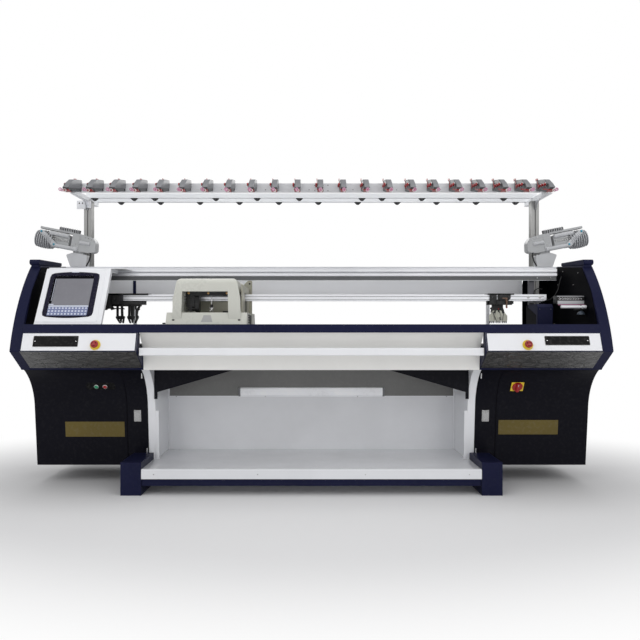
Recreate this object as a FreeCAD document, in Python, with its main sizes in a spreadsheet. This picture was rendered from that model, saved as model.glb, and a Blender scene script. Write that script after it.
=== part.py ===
"""Flat knitting machine, two needle beds, as a parametric assembly.

Millimetres. X runs along the needle beds, +Y points to the rear and +Z up.
The origin lies on the floor under the middle of the machine. In the outlines
below, depths are measured backwards from the machine's nose; place() moves
them into the machine's frame.
"""
import FreeCAD, Part
import math
import os
import re

import Sketcher

DIMENSIONS = {
    # Whole machine
    "frame_length": 3300,
    "frame_depth": 900,
    "sheet": 3,
    # Feet and the beams that tie them
    "foot_width": 115,
    "foot_height": 185,
    "foot_front": 80,
    "foot_rear_gap": 20,
    "tie_beam_width": 40,
    "tie_beam_height": 40,
    "tie_beam_front": 90,
    "tie_beam_rear": 650,
    # Fabric bay: tray, side walls, rear panels, light and gussets
    "tray_top": 145,
    "tray_lip": 53,
    "tray_gap": 1,
    "bay_half": 932,
    "wall_skin": 18,
    "wall_width": 44,
    "wall_setback": 4,
    "bay_rear": 690,
    "panel_sheet": 4,
    "panel_seam": 488,
    "light_half": 470,
    "light_bottom": 491,
    "light_height": 52,
    "light_depth": 12,
    "gusset_depth": 308,
    "gusset_sheet": 4,
    "gusset_bottom": 513,
    "gusset_corner": 554,
    "gusset_lip": 19,
    "gusset_reach": 471,
    "gusset_rim": 11,
    # Lower cabinets with their service bays and doors
    "cabinet_bottom": 110,
    "cabinet_top": 696,
    "cabinet_brow": 183,
    "cabinet_knee": 333,
    "cabinet_knee_height": 450,
    "cabinet_toe": 369,
    "service_width": 124,
    "service_floor": 6,
    "service_back": 16,
    "door_gap": 2,
    "door_sheet": 3,
    "latch_width": 42,
    "latch_length": 72,
    "latch_thick": 5,
    "latch_slot": 14,
    "latch_top": 446,
    "button_plate_height": 591,
    "button_plate_length": 175,
    "button_plate_width": 66,
    "button_plate_inset": 141,
    "switch_plate_length": 130,
    "switch_plate_inset": 112,
    "plate_recess": 6,
    "plate_sheet": 3,
    "button_radius": 11,
    "button_rise": 9,
    "button_travel": 3,
    "button_pitch": 51,
    "bezel_radius": 15,
    "bezel_rise": 6,
    "switch_knob_radius": 33,
    "switch_knob_height": 24,
    "switch_square": 74,
    "switch_clearance": 0.3,
    # Consoles at both ends
    "console_step": 23,
    "deck_top": 795,
    "nose_height": 806,
    "strip_rise": 103,
    "strip_run": 37,
    "strip_sheet": 4,
    "strip_gap": 3,
    "skirt_back": 140,
    "skirt_bottom": 708,
    "console_back": 152,
    "fascia_depth": 34,
    "console_wall_top": 1215,
    "motor_cover_gap": 164,
    "motor_cover_length": 90,
    "motor_cover_front": 300,
    "motor_cover_top": 1076,
    "motor_cover_bevel": 18,
    "side_plate_width": 58,
    "side_top_front": 277,
    "side_top_height": 1296,
    "side_top_rear": 749,
    "side_rear_height": 1338,
    "side_shoulder": 1150,
    "cap_front_height": 44,
    "cap_rear_height": 28,
    # Front beam, front cover and operating bar
    "beam_lean": 15,
    "beam_height": 46,
    "beam_depth": 38,
    "cover_seam": 3,
    "cover_knee": 130,
    "cover_knee_height": 815,
    "cover_foot": 143,
    "cover_sheet": 4,
    "bar_front": 35,
    "bar_thick": 15,
    "bar_height": 43,
    "bar_bottom": 782,
    "bar_end_gap": 6,
    "bar_arm_width": 12,
    "bar_pivot": 100,
    "bar_pivot_radius": 8,
    "running_gap": 0.05,
    # Needle beds and what carries them
    "gap_centre": 430,
    "gap_half": 6,
    "bed_end_gap": 17.5,
    "bed_top": 950,
    "bed_run": 124,
    "bed_thick": 22,
    "trick_count": 34,
    "trick_width": 4,
    "trick_depth": 6,
    "needle_gap": 0.5,
    "needle_butt": 2,
    "throat_half": 18,
    "support_front": 250,
    "pocket_half": 36,
    "pocket_top": 772,
    "rail_front": 262,
    "rail_width": 24,
    "rail_height": 40,
    "rail_half": 1160,
    # Take-down rollers under the beds
    "roller_radius": 16,
    "roller_nip": 2,
    "roller_height": 735,
    "roller_end_gap": 32,
    "journal_radius": 8,
    "bearing_width": 20,
    # Emergency stops on the strip panels
    "stop_inset": 227,
    "stop_height": 841,
    "stop_base_radius": 29,
    "stop_base_rise": 8,
    "stop_stem_radius": 11,
    "stop_travel": 6,
    "stop_cap_radius": 21,
    "stop_cap_thick": 13,
    # Carriage
    "carriage_centre": -600,
    "carriage_length": 461,
    "shoe_gap": 0.4,
    "cam_gap": 4,
    "cam_box_front": 125,
    "cam_box_shoulder": 900,
    "cam_slope_front": 150,
    "cam_slope_foot": 952,
    "cam_box_rear_gap": 75,
    "cam_top_front": 185,
    "cam_top": 1023,
    "cam_tongue": 22,
    "cam_tongue_top": 955,
    "bow_length": 393,
    "bow_taper": 26,
    "bow_corner": 44,
    "bow_window_corner": 12,
    "bow_top": 1220,
    "bow_leg": 71,
    "bow_foot": 985,
    "bow_front": 166,
    "bow_wall": 80,
    "bow_shoulder": 34,
    "window_top": 1144,
    "tunnel_top": 1150,
    "side_sheet": 4,
    "side_plate_inset": 20,
    "side_flange": 14,
    "side_hole_radius": 9,
    "side_hole_reach": 180,
    "side_hole_pitch": 50,
    "belt_clamp_length": 100,
    "belt_clamp_sheet": 6,
    # Beam over the carriage, its columns and the yarn carrier rails
    "top_beam_inset": 150,
    "top_beam_front": 425,
    "top_beam_depth": 36,
    "top_beam_bottom": 1252,
    "top_beam_height": 56,
    "top_beam_groove": 6,
    "top_beam_band": 27,
    "column_inset": 295,
    "column_width": 30,
    "column_front": 500,
    "carrier_rail_count": 3,
    "carrier_rail_pitch": 40,
    "carrier_rail_thick": 12,
    "carrier_rail_height": 38,
    "carrier_rail_bottom": 1099,
    "carrier_rail_inset": 230,
    "carrier_shelf": 12,
    # Yarn carriers
    "carrier_cheek": 6,
    "carrier_gap": 0.4,
    "carrier_bar_height": 24,
    "carrier_bar_reach": 25,
    "carrier_top_reach": 28,
    "carrier_top_gap": 1.5,
    "carrier_top_sheet": 4,
    "carrier_top_nose": 36,
    "carrier_arm_width": 12,
    "carrier_arm_lean": 9,
    "carrier_hook": 20,
    "fan_hub": 36,
    "fan_width": 101,
    "carrier_tip": 961,
    "carrier_belly": 1001,
    "finger_sheet": 6,
    "left_carrier_inset": 387,
    "left_carrier_length": 251,
    "right_carrier_inset": 578,
    "right_carrier_length": 151,
    # Rear panel
    "rear_panel_inset": 225,
    "rear_panel_setback": 50,
    "rear_panel_bottom": 1160,
    "rear_panel_height": 95,
    "rear_stay_inset": 238,
    "rear_stay_width": 20,
    # Yarn frame: posts, arms, bars and plate
    "post_inset": 222,
    "post_width": 50,
    "post_front": 675,
    "post_slot": 8,
    "gantry_bottom": 1760,
    "arm_width": 27,
    "arm_front": 440,
    "arm_rear": 887,
    "arm_height": 28,
    "arm_nose": 25,
    "gantry_plate_overhang": 20,
    "gantry_plate_depth": 555,
    "gantry_plate_height": 58,
    "joint_plate_x": 7,
    "joint_plate_length": 110,
    "mid_bar_front": 722,
    "rear_bar_front": 857,
    "bar_width": 30,
    "gantry_bar_height": 30,
    # Yarn tension units
    "unit_count": 22,
    "unit_end_gap": 31,
    "unit_shift": 15,
    "unit_width": 34,
    "unit_front": 318,
    "unit_bottom": 1797,
    "unit_height": 67,
    "unit_drop": 40,
    "unit_chin": 12,
    "unit_nose_height": 50,
    "unit_nose_lean": 27,
    "unit_brow": 34,
    "knob_radius": 11,
    "knob_length": 14,
    "knob_front": 32,
    "knob_height": 1808,
    "knob_spacing": 54,
    "lever_sheet": 5,
    "lever_length": 80,
    "tab_length": 40,
    "tab_height": 16,
    "tab_rise": 10,
    "ring_depth": 248,
    "ring_height": 1744,
    "ring_radius": 13,
    "ring_hole": 8,
    "ring_thick": 5,
    "eyelet_width": 46,
    "eyelet_foot": 12,
    "eyelet_drop": 17,
    "eyelet_hole": 5,
    "eyelet_setback": 6,
    # Yarn storage feeders
    "feeder_inset": 226,
    "feeder_stand_bottom": 104,
    "feeder_stand_top": 144,
    "feeder_stand_height": 69,
    "feeder_stand_depth": 56,
    "feeder_lean": 11,
    "feeder_body_radius": 36,
    "feeder_body_inner": 114,
    "feeder_body_length": 268,
    "feeder_axis_rise": 60,
    "wheel_radius": 56,
    "wheel_core_radius": 30,
    "wheel_length": 108,
    "wheel_gap": 0.5,
    "wheel_rib": 5,
    "feeder_case_length": 42,
    "feeder_case_half": 33,
    "feeder_saddle": 60,
    "feeder_rod_radius": 14,
    "feeder_guard_pitch": 11,
    "feeder_tooth": 4,
    # Control panel on the left console
    "panel_end_gap": 52,
    "panel_length": 373,
    "panel_foot": 62,
    "panel_brow": 245,
    "panel_top": 1281,
    "panel_roof": 125,
    "panel_tail": 260,
    "panel_back_height": 1100,
    "panel_shell": 22,
    "housing_inset": 93,
    "plug_reach": 63,
    "plug_depth": 40,
    "plug_drop": 68,
    "plug_height": 44,
    "socket_drop": 236,
    "socket_height": 90,
    "lid_sheet": 5,
    "lid_front": 250,
    "lid_rear": 418,
    "lid_reach": 77,
    "display_inset": 55,
    "display_length": 287,
    "display_height": 293,
    "display_along": 46,
    "bezel_sheet": 6,
    "screen_length": 226,
    "screen_height": 194,
    "screen_along": 122,
    "screen_sheet": 2,
    "keypad_length": 225,
    "keypad_height": 58,
    "keypad_along": 54,
    "key_size": 12,
    "display_corner": 22,
    # Carriage drive
    "drive_inset": 360,
    "drive_gap": 8,
    "drive_height": 850,
    "pulley_radius": 50,
    "pulley_width": 20,
    "belt_thick": 4,
    "motor_radius": 44,
    "motor_length": 110,
    "idler_length": 40,
}

# Sizes that follow from the ones above
TIED = {
    "foot_inner": "bay_half + wall_skin",
    "console_inner": "bay_half + console_step",
    "bed_length": "2 * (bay_half - bed_end_gap)",
    "roller_half": "bay_half - roller_end_gap",
    "button_plate_x": "bay_half + wall_width + service_width + button_plate_inset",
    "switch_plate_x": "bay_half + wall_width + service_width + switch_plate_inset",
    "stop_x": "bay_half + console_step + stop_inset",
    "top_beam_half": "frame_length / 2 - top_beam_inset",
    "column_x": "frame_length / 2 - column_inset",
    "carrier_rail_half": "frame_length / 2 - carrier_rail_inset",
    "left_carrier_x": "left_carrier_inset - frame_length / 2",
    "right_carrier_x": "frame_length / 2 - right_carrier_inset",
    "rear_panel_half": "frame_length / 2 - rear_panel_inset",
    "rear_panel_depth": "frame_depth - rear_panel_setback",
    "rear_stay_x": "frame_length / 2 - rear_panel_inset - rear_stay_inset",
    "post_x": "frame_length / 2 - post_inset",
    "arm_x": "post_x + post_width / 2",
    "gantry_half": "arm_x + arm_width",
    "gantry_plate_half": "gantry_half + gantry_plate_overhang",
    "unit_pitch": "2 * (gantry_half - unit_end_gap) / (unit_count - 1)",
    "feeder_x": "frame_length / 2 - feeder_inset",
    "panel_inner": "frame_length / 2 - side_plate_width - panel_end_gap - panel_length",
    "lid_inner": "panel_inner - lid_reach",
    "display_x": "panel_inner + display_inset",
    "drive_x": "frame_length / 2 - drive_inset",
    "drive_depth": "2 * gap_centre - cam_box_front + drive_gap",
}


DOC = FreeCAD.newDocument("FlatKnittingMachine")
SIZES = DOC.addObject("Spreadsheet::Sheet", "Sizes")
NODES = []
WORD = re.compile(r"[a-z][a-z_0-9]*")


def fill_sheet():
    """Write every driving dimension, and every size tied to them, into the sheet under its own alias."""
    tied = {alias: f"={text}" for alias, text in TIED.items()}
    for row, (alias, content) in enumerate({**DIMENSIONS, **tied}.items(), start=1):
        SIZES.set(f"A{row}", alias.replace("_", " "))
        SIZES.setAlias(f"B{row}", alias)
        SIZES.set(f"B{row}", str(content))
    DOC.recompute()


def formula(text):
    """Return an expression in which every size name points at the sheet."""
    known = {**DIMENSIONS, **TIED}
    return WORD.sub(lambda m: "Sizes." + m.group(0) if m.group(0) in known else m.group(0), str(text))


def size(text):
    """Return the present value of an expression in the sheet's names."""
    return float(SIZES.evalExpression(formula(text)))


def bind(obj, **properties):
    """Tie properties of an object to expressions; a double underscore stands for a dot."""
    for name, text in properties.items():
        obj.setExpression(name.replace("__", "."), formula(text))
    return obj


def place(obj, x, depth, z):
    """Tie an object's place to the sheet, its depth counted from the machine's nose."""
    return bind(obj, Placement__Base__x=x, Placement__Base__y=f"{depth} - frame_depth / 2",
                Placement__Base__z=z)


def node(label, obj):
    """Name a finished sub-part and put it on the list of exported ones."""
    obj.Label = label
    NODES.append(obj)
    return obj


def box(name, x, depth, z):
    """Make a block from three (low, high) pairs of expressions."""
    block = DOC.addObject("Part::Box", name)
    bind(block, Length=f"{x[1]} - ({x[0]})", Width=f"{depth[1]} - ({depth[0]})", Height=f"{z[1]} - ({z[0]})")
    return place(block, x[0], depth[0], z[0])


ROUND_SIDES = 18
AXIS_TURN = {"X": FreeCAD.Rotation(FreeCAD.Vector(0, 1, 0), 90),
             "Y": FreeCAD.Rotation(FreeCAD.Vector(1, 0, 0), -90),
             "Z": FreeCAD.Rotation()}


def many_sided(name, radius, length):
    """Make a bar with ROUND_SIDES flats about +Z, its radius reaching the corners."""
    bar = DOC.addObject("Part::Prism", name)
    bar.Polygon = ROUND_SIDES
    return bind(bar, Circumradius=radius, Height=length)


def around(radius):
    """Radius to the corners of a many-sided bore whose flats lie at the given radius."""
    return f"({radius}) / {math.cos(math.pi / ROUND_SIDES):.6f}"


def cylinder(name, axis, radius, length, x, depth, z):
    """Make a round bar that starts at (x, depth, z) and runs along +axis."""
    bar = many_sided(name, radius, length)
    bar.Placement = FreeCAD.Placement(FreeCAD.Vector(), AXIS_TURN[axis])
    return place(bar, x, depth, z)


def fuse(name, *parts):
    """Join touching parts to one solid."""
    joined = DOC.addObject("Part::MultiFuse", name)
    joined.Shapes = list(parts)
    joined.Refine = True
    return joined


def cut(name, base, tool):
    """Take a tool's volume out of a base."""
    rest = DOC.addObject("Part::Cut", name)
    rest.Base = base
    rest.Tool = tool
    return rest


def common(name, first, second):
    """Keep what two parts share."""
    shared = DOC.addObject("Part::MultiCommon", name)
    shared.Shapes = [first, second]
    return shared


def group(name, *parts):
    """Hold separate solids together as one sub-part."""
    held = DOC.addObject("Part::Compound", name)
    held.Links = list(parts)
    return held


def mirrored(name, part, normal=(1, 0, 0), depth="frame_depth / 2"):
    """Reflect a part in a plane, by default the one that halves the machine's length."""
    image = DOC.addObject("Part::Mirroring", name)
    image.Source = part
    image.Normal = FreeCAD.Vector(*normal)
    return bind(image, Base__y=f"{depth} - frame_depth / 2")


def pair(name, part):
    """Hold a part and its mirror image at the other end of the machine together."""
    return group(name, part, mirrored(name + "Left", part))


def row_of(name, source, offsets):
    """Repeat a source's shape at the given offsets along X, as separate solids."""
    DOC.recompute()
    copies = [source.Shape.translated(FreeCAD.Vector(offset, 0, 0)) for offset in offsets]
    repeated = DOC.addObject("Part::Feature", name)
    repeated.Shape = Part.makeCompound([solid for copy in copies for solid in copy.Solids])
    return repeated


PLANES = {"X": "YZ_Plane", "Y": "XZ_Plane", "Z": "XY_Plane"}


def end_at(sketch, edge, point):
    """Return which end of a sketch edge, 1 or 2, lies at a point."""
    return 1 if (sketch.getPoint(edge, 1) - point).Length < (sketch.getPoint(edge, 2) - point).Length else 2


def bend(sketch, edge, bulge, start, end):
    """Tie an arc's radius to its ends; a half circle is tied by its centre instead."""
    chord = FreeCAD.Vector(size(end[0]) - size(start[0]), size(end[1]) - size(start[1]), 0)
    if abs(bulge) == 1:
        upright = abs(chord.y) > abs(chord.x)
        middle = f"({start[0]} + {end[0]}) / 2" if upright else f"({start[1]} + {end[1]}) / 2"
        kind = "DistanceX" if upright else "DistanceY"
        tie = sketch.addConstraint(Sketcher.Constraint(kind, -1, 1, edge, 3, size(middle)))
        sketch.setExpression(f"Constraints[{tie}]", formula(middle))
        return
    share = (1 + bulge ** 2) / (4 * abs(bulge))
    length = f"sqrt(pow({end[0]} - ({start[0]}); 2) + pow({end[1]} - ({start[1]}); 2))"
    tie = sketch.addConstraint(Sketcher.Constraint("Radius", edge, chord.Length * share))
    sketch.setExpression(f"Constraints[{tie}]", formula(f"{length} * {share}"))


def draw(sketch, outline):
    """Draw a closed outline whose corners and radii are tied to the sheet.

    Each corner is (across, up) or (across, up, bulge). A bulge turns the edge
    that starts there into an arc standing off to the left of its chord, by
    half the chord for a bulge of 1.
    """
    across = [str(corner[0]) for corner in outline]
    up = [str(corner[1]) for corner in outline]
    corners = [FreeCAD.Vector(size(u), size(v), 0) for u, v in zip(across, up)]
    count = len(corners)
    first = sketch.GeometryCount
    for index, start in enumerate(corners):
        end = corners[(index + 1) % count]
        bulge = outline[index][2] if len(outline[index]) > 2 else 0
        if bulge:
            left = FreeCAD.Vector(start.y - end.y, end.x - start.x, 0)
            sketch.addGeometry(Part.Arc(start, (start + end) * 0.5 + left * (bulge / 2), end))
        else:
            sketch.addGeometry(Part.LineSegment(start, end))
    for index, start in enumerate(corners):
        edge = first + index
        after = first + (index + 1) % count
        end = corners[(index + 1) % count]
        near = end_at(sketch, edge, start)
        for kind, text, value in (("DistanceX", across[index], start.x), ("DistanceY", up[index], start.y)):
            tie = sketch.addConstraint(Sketcher.Constraint(kind, -1, 1, edge, near, value))
            sketch.setExpression(f"Constraints[{tie}]", formula(text))
        meeting = end_at(sketch, after, end)
        sketch.addConstraint(Sketcher.Constraint("Coincident", edge, 3 - near, after, meeting))
        if len(outline[index]) > 2:
            following = (index + 1) % count
            bend(sketch, edge, outline[index][2], (across[index], up[index]), (across[following], up[following]))


def prism(name, axis, low, high, outline, *holes):
    """Pad an outline, less its holes, along an axis from low to high.

    Outlines for X hold (depth, height), for Y (x, height) and for Z (x, depth).
    A hole is an outline of its own, or (across, up, radius) of a round one.
    """
    body = DOC.addObject("PartDesign::Body", name)
    sketch = body.newObject("Sketcher::SketchObject", name + "Sketch")
    plane = [feature for feature in body.Origin.OriginFeatures if feature.Role == PLANES[axis]][0]
    sketch.AttachmentSupport = (plane, [""])
    sketch.MapMode = "FlatFace"
    draw(sketch, outline)
    for hole in holes:
        if isinstance(hole, list):
            draw(sketch, hole)
            continue
        across, up, radius = hole
        centre = FreeCAD.Vector(size(across), size(up), 0)
        ring = sketch.addGeometry(Part.Circle(centre, FreeCAD.Vector(0, 0, 1), size(radius)))
        for kind, text, value in (("DistanceX", across, centre.x), ("DistanceY", up, centre.y)):
            tie = sketch.addConstraint(Sketcher.Constraint(kind, -1, 1, ring, 3, value))
            sketch.setExpression(f"Constraints[{tie}]", formula(text))
        tie = sketch.addConstraint(Sketcher.Constraint("Radius", ring, size(radius)))
        sketch.setExpression(f"Constraints[{tie}]", formula(radius))
    pad = body.newObject("PartDesign::Pad", name + "Pad")
    pad.Profile = sketch
    bind(pad, Length=f"{high} - ({low})")
    if axis == "X":
        return place(body, low, "0", "0")
    if axis == "Y":
        return place(body, "0", high, "0")
    return place(body, "0", "0", low)


def even_corners(across, up, radius, sides):
    """Return the corners of a regular outline about a centre, its radius reaching the corners."""
    corners = []
    for index in range(sides):
        angle = math.tau * (index + 0.5) / sides
        corners.append((f"{across} + ({radius}) * ({math.cos(angle):.6f})",
                        f"{up} + ({radius}) * ({math.sin(angle):.6f})"))
    return corners


def behind(outline):
    """Mirror a (depth, height) outline about the gap between the needle beds."""
    turned = []
    for corner in outline:
        depth = f"2 * gap_centre - ({corner[0]})"
        turned.append((depth, corner[1], -corner[2]) if len(corner) > 2 else (depth, corner[1]))
    return turned


# Profile of the concave front that cabinets, doors and bay walls share.
BROW_BULGE = 0.25
KEY_ROWS = 3
GUARD_TEETH = 11
WHEEL_RIBS = 6
FAN_LEAVES = 7
KNOB_COUNT = 3
# Where the thread eyelets hang, as shares of the yarn frame's half length
MID_EYELETS = (-0.9655, -0.79, -0.698, -0.426, -0.242, -0.054, 0.225, 0.314, 0.492, 0.666, 0.856)
REAR_EYELETS = tuple(-0.875 + 0.1813 * index for index in range(11))
TOE_SLOPE = "(cabinet_toe - cabinet_knee) / (cabinet_knee_height - cabinet_bottom)"


def toe_depth(height):
    """Return the depth of the cabinet front at a height below its knee."""
    return f"cabinet_knee + (cabinet_knee_height - ({height})) * {TOE_SLOPE}"


def cabinet_outline(bottom, setback="0"):
    """Side view of a part behind the cabinet front: concave front, flat top, bottom and back."""
    return [(f"cabinet_brow + {setback}", "cabinet_top", BROW_BULGE),
            (f"cabinet_knee + {setback}", "cabinet_knee_height"),
            (f"{toe_depth(bottom)} + {setback}", bottom),
            ("frame_depth", bottom),
            ("frame_depth", "cabinet_top")]


def face_turn(tilt):
    """Rotation of a flat face whose top leans back by tilt degrees."""
    return FreeCAD.Rotation(FreeCAD.Vector(1, 0, 0), -tilt)


def on_face(obj, x, depth, height, tilt, offset=(0, 0, 0), axis="Z"):
    """Stand an object on a leaning face: offset runs along the face's X, inward normal and slope."""
    turn = face_turn(tilt)
    foot = FreeCAD.Vector(size(x), size(f"{depth} - frame_depth / 2"), size(height))
    shift = turn.multVec(FreeCAD.Vector(*[size(value) for value in offset]))
    obj.Placement = FreeCAD.Placement(foot + shift, turn.multiply(AXIS_TURN[axis]))
    return obj


def face_box(name, length, thickness, height):
    """Make a block for a leaning face; on_face() places its low corner."""
    block = DOC.addObject("Part::Box", name)
    return bind(block, Length=length, Width=thickness, Height=height)


def face_stub(name, radius, length):
    """Make a round stub for a leaning face; on_face() places its inner end with axis Y."""
    return many_sided(name, radius, length)


def face_slab(name, thickness, outline):
    """Make a flat plate of any outline that stands on a leaning face, its front ahead of the origin."""
    body = DOC.addObject("PartDesign::Body", name)
    sketch = body.newObject("Sketcher::SketchObject", name + "Sketch")
    plane = [feature for feature in body.Origin.OriginFeatures if feature.Role == PLANES["Y"]][0]
    sketch.AttachmentSupport = (plane, [""])
    sketch.MapMode = "FlatFace"
    draw(sketch, outline)
    pad = body.newObject("PartDesign::Pad", name + "Pad")
    pad.Profile = sketch
    bind(pad, Length=thickness)
    return body


def face_ring(name, thickness, radius, bore):
    """Make a round collar that lies on a leaning face, its centre at the origin and its front ahead of it."""
    body = face_slab(name, thickness, even_corners("0", "0", radius, ROUND_SIDES))
    draw(DOC.getObject(name + "Sketch"), even_corners("0", "0", around(bore), ROUND_SIDES))
    return body


def make_feet():
    """Two long box feet and the beams that tie them together."""
    foot = box("Foot", ("foot_inner", "foot_inner + foot_width"),
               ("foot_front", "frame_depth - foot_rear_gap"), ("0", "foot_height"))
    beams = []
    for name, front in (("TieFront", "tie_beam_front"), ("TieRear", "tie_beam_rear")):
        beams.append(box(name, ("-foot_inner", "foot_inner"), (front, f"{front} + tie_beam_width"),
                         ("tray_top - tray_lip - tie_beam_height", "tray_top - tray_lip")))
    node("base_frame", group("BaseFrame", foot, mirrored("FootLeft", foot), *beams))


def make_fabric_bay():
    """Tray, walls, rear panels, light and gussets of the bay that the fabric drops into."""
    tray_half = "foot_inner - tray_gap"
    lip = "tray_top - tray_lip"
    tray_rear = "bay_rear + panel_sheet"
    tray = [("foot_front", lip), ("foot_front", "tray_top"), (tray_rear, "tray_top"), (tray_rear, lip),
            (f"{tray_rear} - sheet", lip), (f"{tray_rear} - sheet", "tray_top - sheet"),
            ("foot_front + sheet", "tray_top - sheet"), ("foot_front + sheet", lip)]
    node("tray", prism("Tray", "X", f"-({tray_half})", tray_half, tray))

    skin = prism("WallSkin", "X", "bay_half", "foot_inner", cabinet_outline("tray_top", "wall_setback"))
    post = prism("WallPost", "X", "foot_inner", "bay_half + wall_width",
                 cabinet_outline("foot_height", "wall_setback"))
    node("bay_walls", pair("BayWalls", fuse("BayWall", skin, post)))

    across = ("-bay_half", "bay_half")
    deep = ("bay_rear", tray_rear)
    lower = box("PanelLower", across, deep, ("tray_top", "panel_seam"))
    upper = box("PanelUpper", across, deep, ("panel_seam", "cabinet_top"))
    node("bay_rear_panels", group("RearPanels", lower, upper))
    light_top = "light_bottom + light_height"
    light = [("bay_rear", "light_bottom"), ("bay_rear", light_top),
             ("bay_rear - light_depth / 2", light_top),
             ("bay_rear - light_depth", f"{light_top} - light_depth / 2"),
             ("bay_rear - light_depth", "light_bottom + light_depth / 2"),
             ("bay_rear - light_depth / 2", "light_bottom")]
    node("bay_light", prism("Light", "X", "-light_half", "light_half", light))

    gusset = [("bay_half", "cabinet_top"), ("bay_half", "gusset_bottom"),
              ("bay_half - gusset_lip", "gusset_bottom"), ("bay_half - gusset_lip", "gusset_corner"),
              ("bay_half - gusset_reach", "cabinet_top - gusset_rim"),
              ("bay_half - gusset_reach", "cabinet_top")]
    gusset_plate = prism("Gusset", "Y", "gusset_depth", "gusset_depth + gusset_sheet", gusset)
    node("bay_gussets", pair("Gussets", gusset_plate))


def brow_point(height):
    """Return depth and backward lean, in degrees, of the cabinet front at a height above its knee."""
    top = FreeCAD.Vector(size("cabinet_brow"), size("cabinet_top"), 0)
    knee = FreeCAD.Vector(size("cabinet_knee"), size("cabinet_knee_height"), 0)
    left = FreeCAD.Vector(top.y - knee.y, knee.x - top.x, 0)
    curve = Part.Arc(top, (top + knee) * 0.5 + left * (BROW_BULGE / 2), knee).toShape()
    level = Part.makeLine(FreeCAD.Vector(-size("frame_depth"), size(height), 0),
                          FreeCAD.Vector(size("frame_depth"), size(height), 0))
    point = curve.distToShape(level)[1][0][0]
    along = curve.tangentAt(curve.Curve.parameter(point))
    return point.x, -math.degrees(math.atan2(abs(along.x), abs(along.y)))


def obround(name, length, width, thickness):
    """Make a flat plate with round ends that stands on its long edge, its centre at the origin."""
    body = DOC.addObject("PartDesign::Body", name)
    sketch = body.newObject("Sketcher::SketchObject", name + "Sketch")
    plane = [feature for feature in body.Origin.OriginFeatures if feature.Role == PLANES["Y"]][0]
    sketch.AttachmentSupport = (plane, [""])
    sketch.MapMode = "FlatFace"
    reach = f"(({length}) - ({width})) / 2"
    draw(sketch, [(f"-{reach}", f"-({width}) / 2"), (reach, f"-({width}) / 2", -1),
                  (reach, f"({width}) / 2"), (f"-{reach}", f"({width}) / 2", -1)])
    pad = body.newObject("PartDesign::Pad", name + "Pad")
    pad.Profile = sketch
    pad.Reversed = True
    bind(pad, Length=thickness)
    return body


def make_cabinet(side, sign, pocket):
    """One lower cabinet: closed body, recess for its control plate, and a service bay beside the fabric bay."""
    inner = "bay_half + wall_width"
    seam = f"{inner} + service_width"
    body = prism("CabinetBody" + side, "X", seam, "frame_length / 2", cabinet_outline("cabinet_bottom"))
    beside_foot = box("BesideFoot" + side, ("foot_inner + foot_width", seam),
                      (toe_depth("cabinet_bottom"), "frame_depth"), ("cabinet_bottom", "foot_height"))
    floor = box("ServiceFloor" + side, (inner, seam), (toe_depth("foot_height + service_floor"), "frame_depth"),
                ("foot_height", "foot_height + service_floor"))
    back = box("ServiceBack" + side, (inner, seam), ("frame_depth - service_back", "frame_depth"),
               ("foot_height + service_floor", "cabinet_top"))
    shell = fuse("CabinetShell" + side, body, beside_foot, floor, back)
    cabinet = cut("CabinetPocketed" + side, shell, pocket)
    if sign < 0:
        cabinet = mirrored("CabinetMirrored" + side, cabinet)
    return node("cabinet_" + side.lower(), cabinet)


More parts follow.
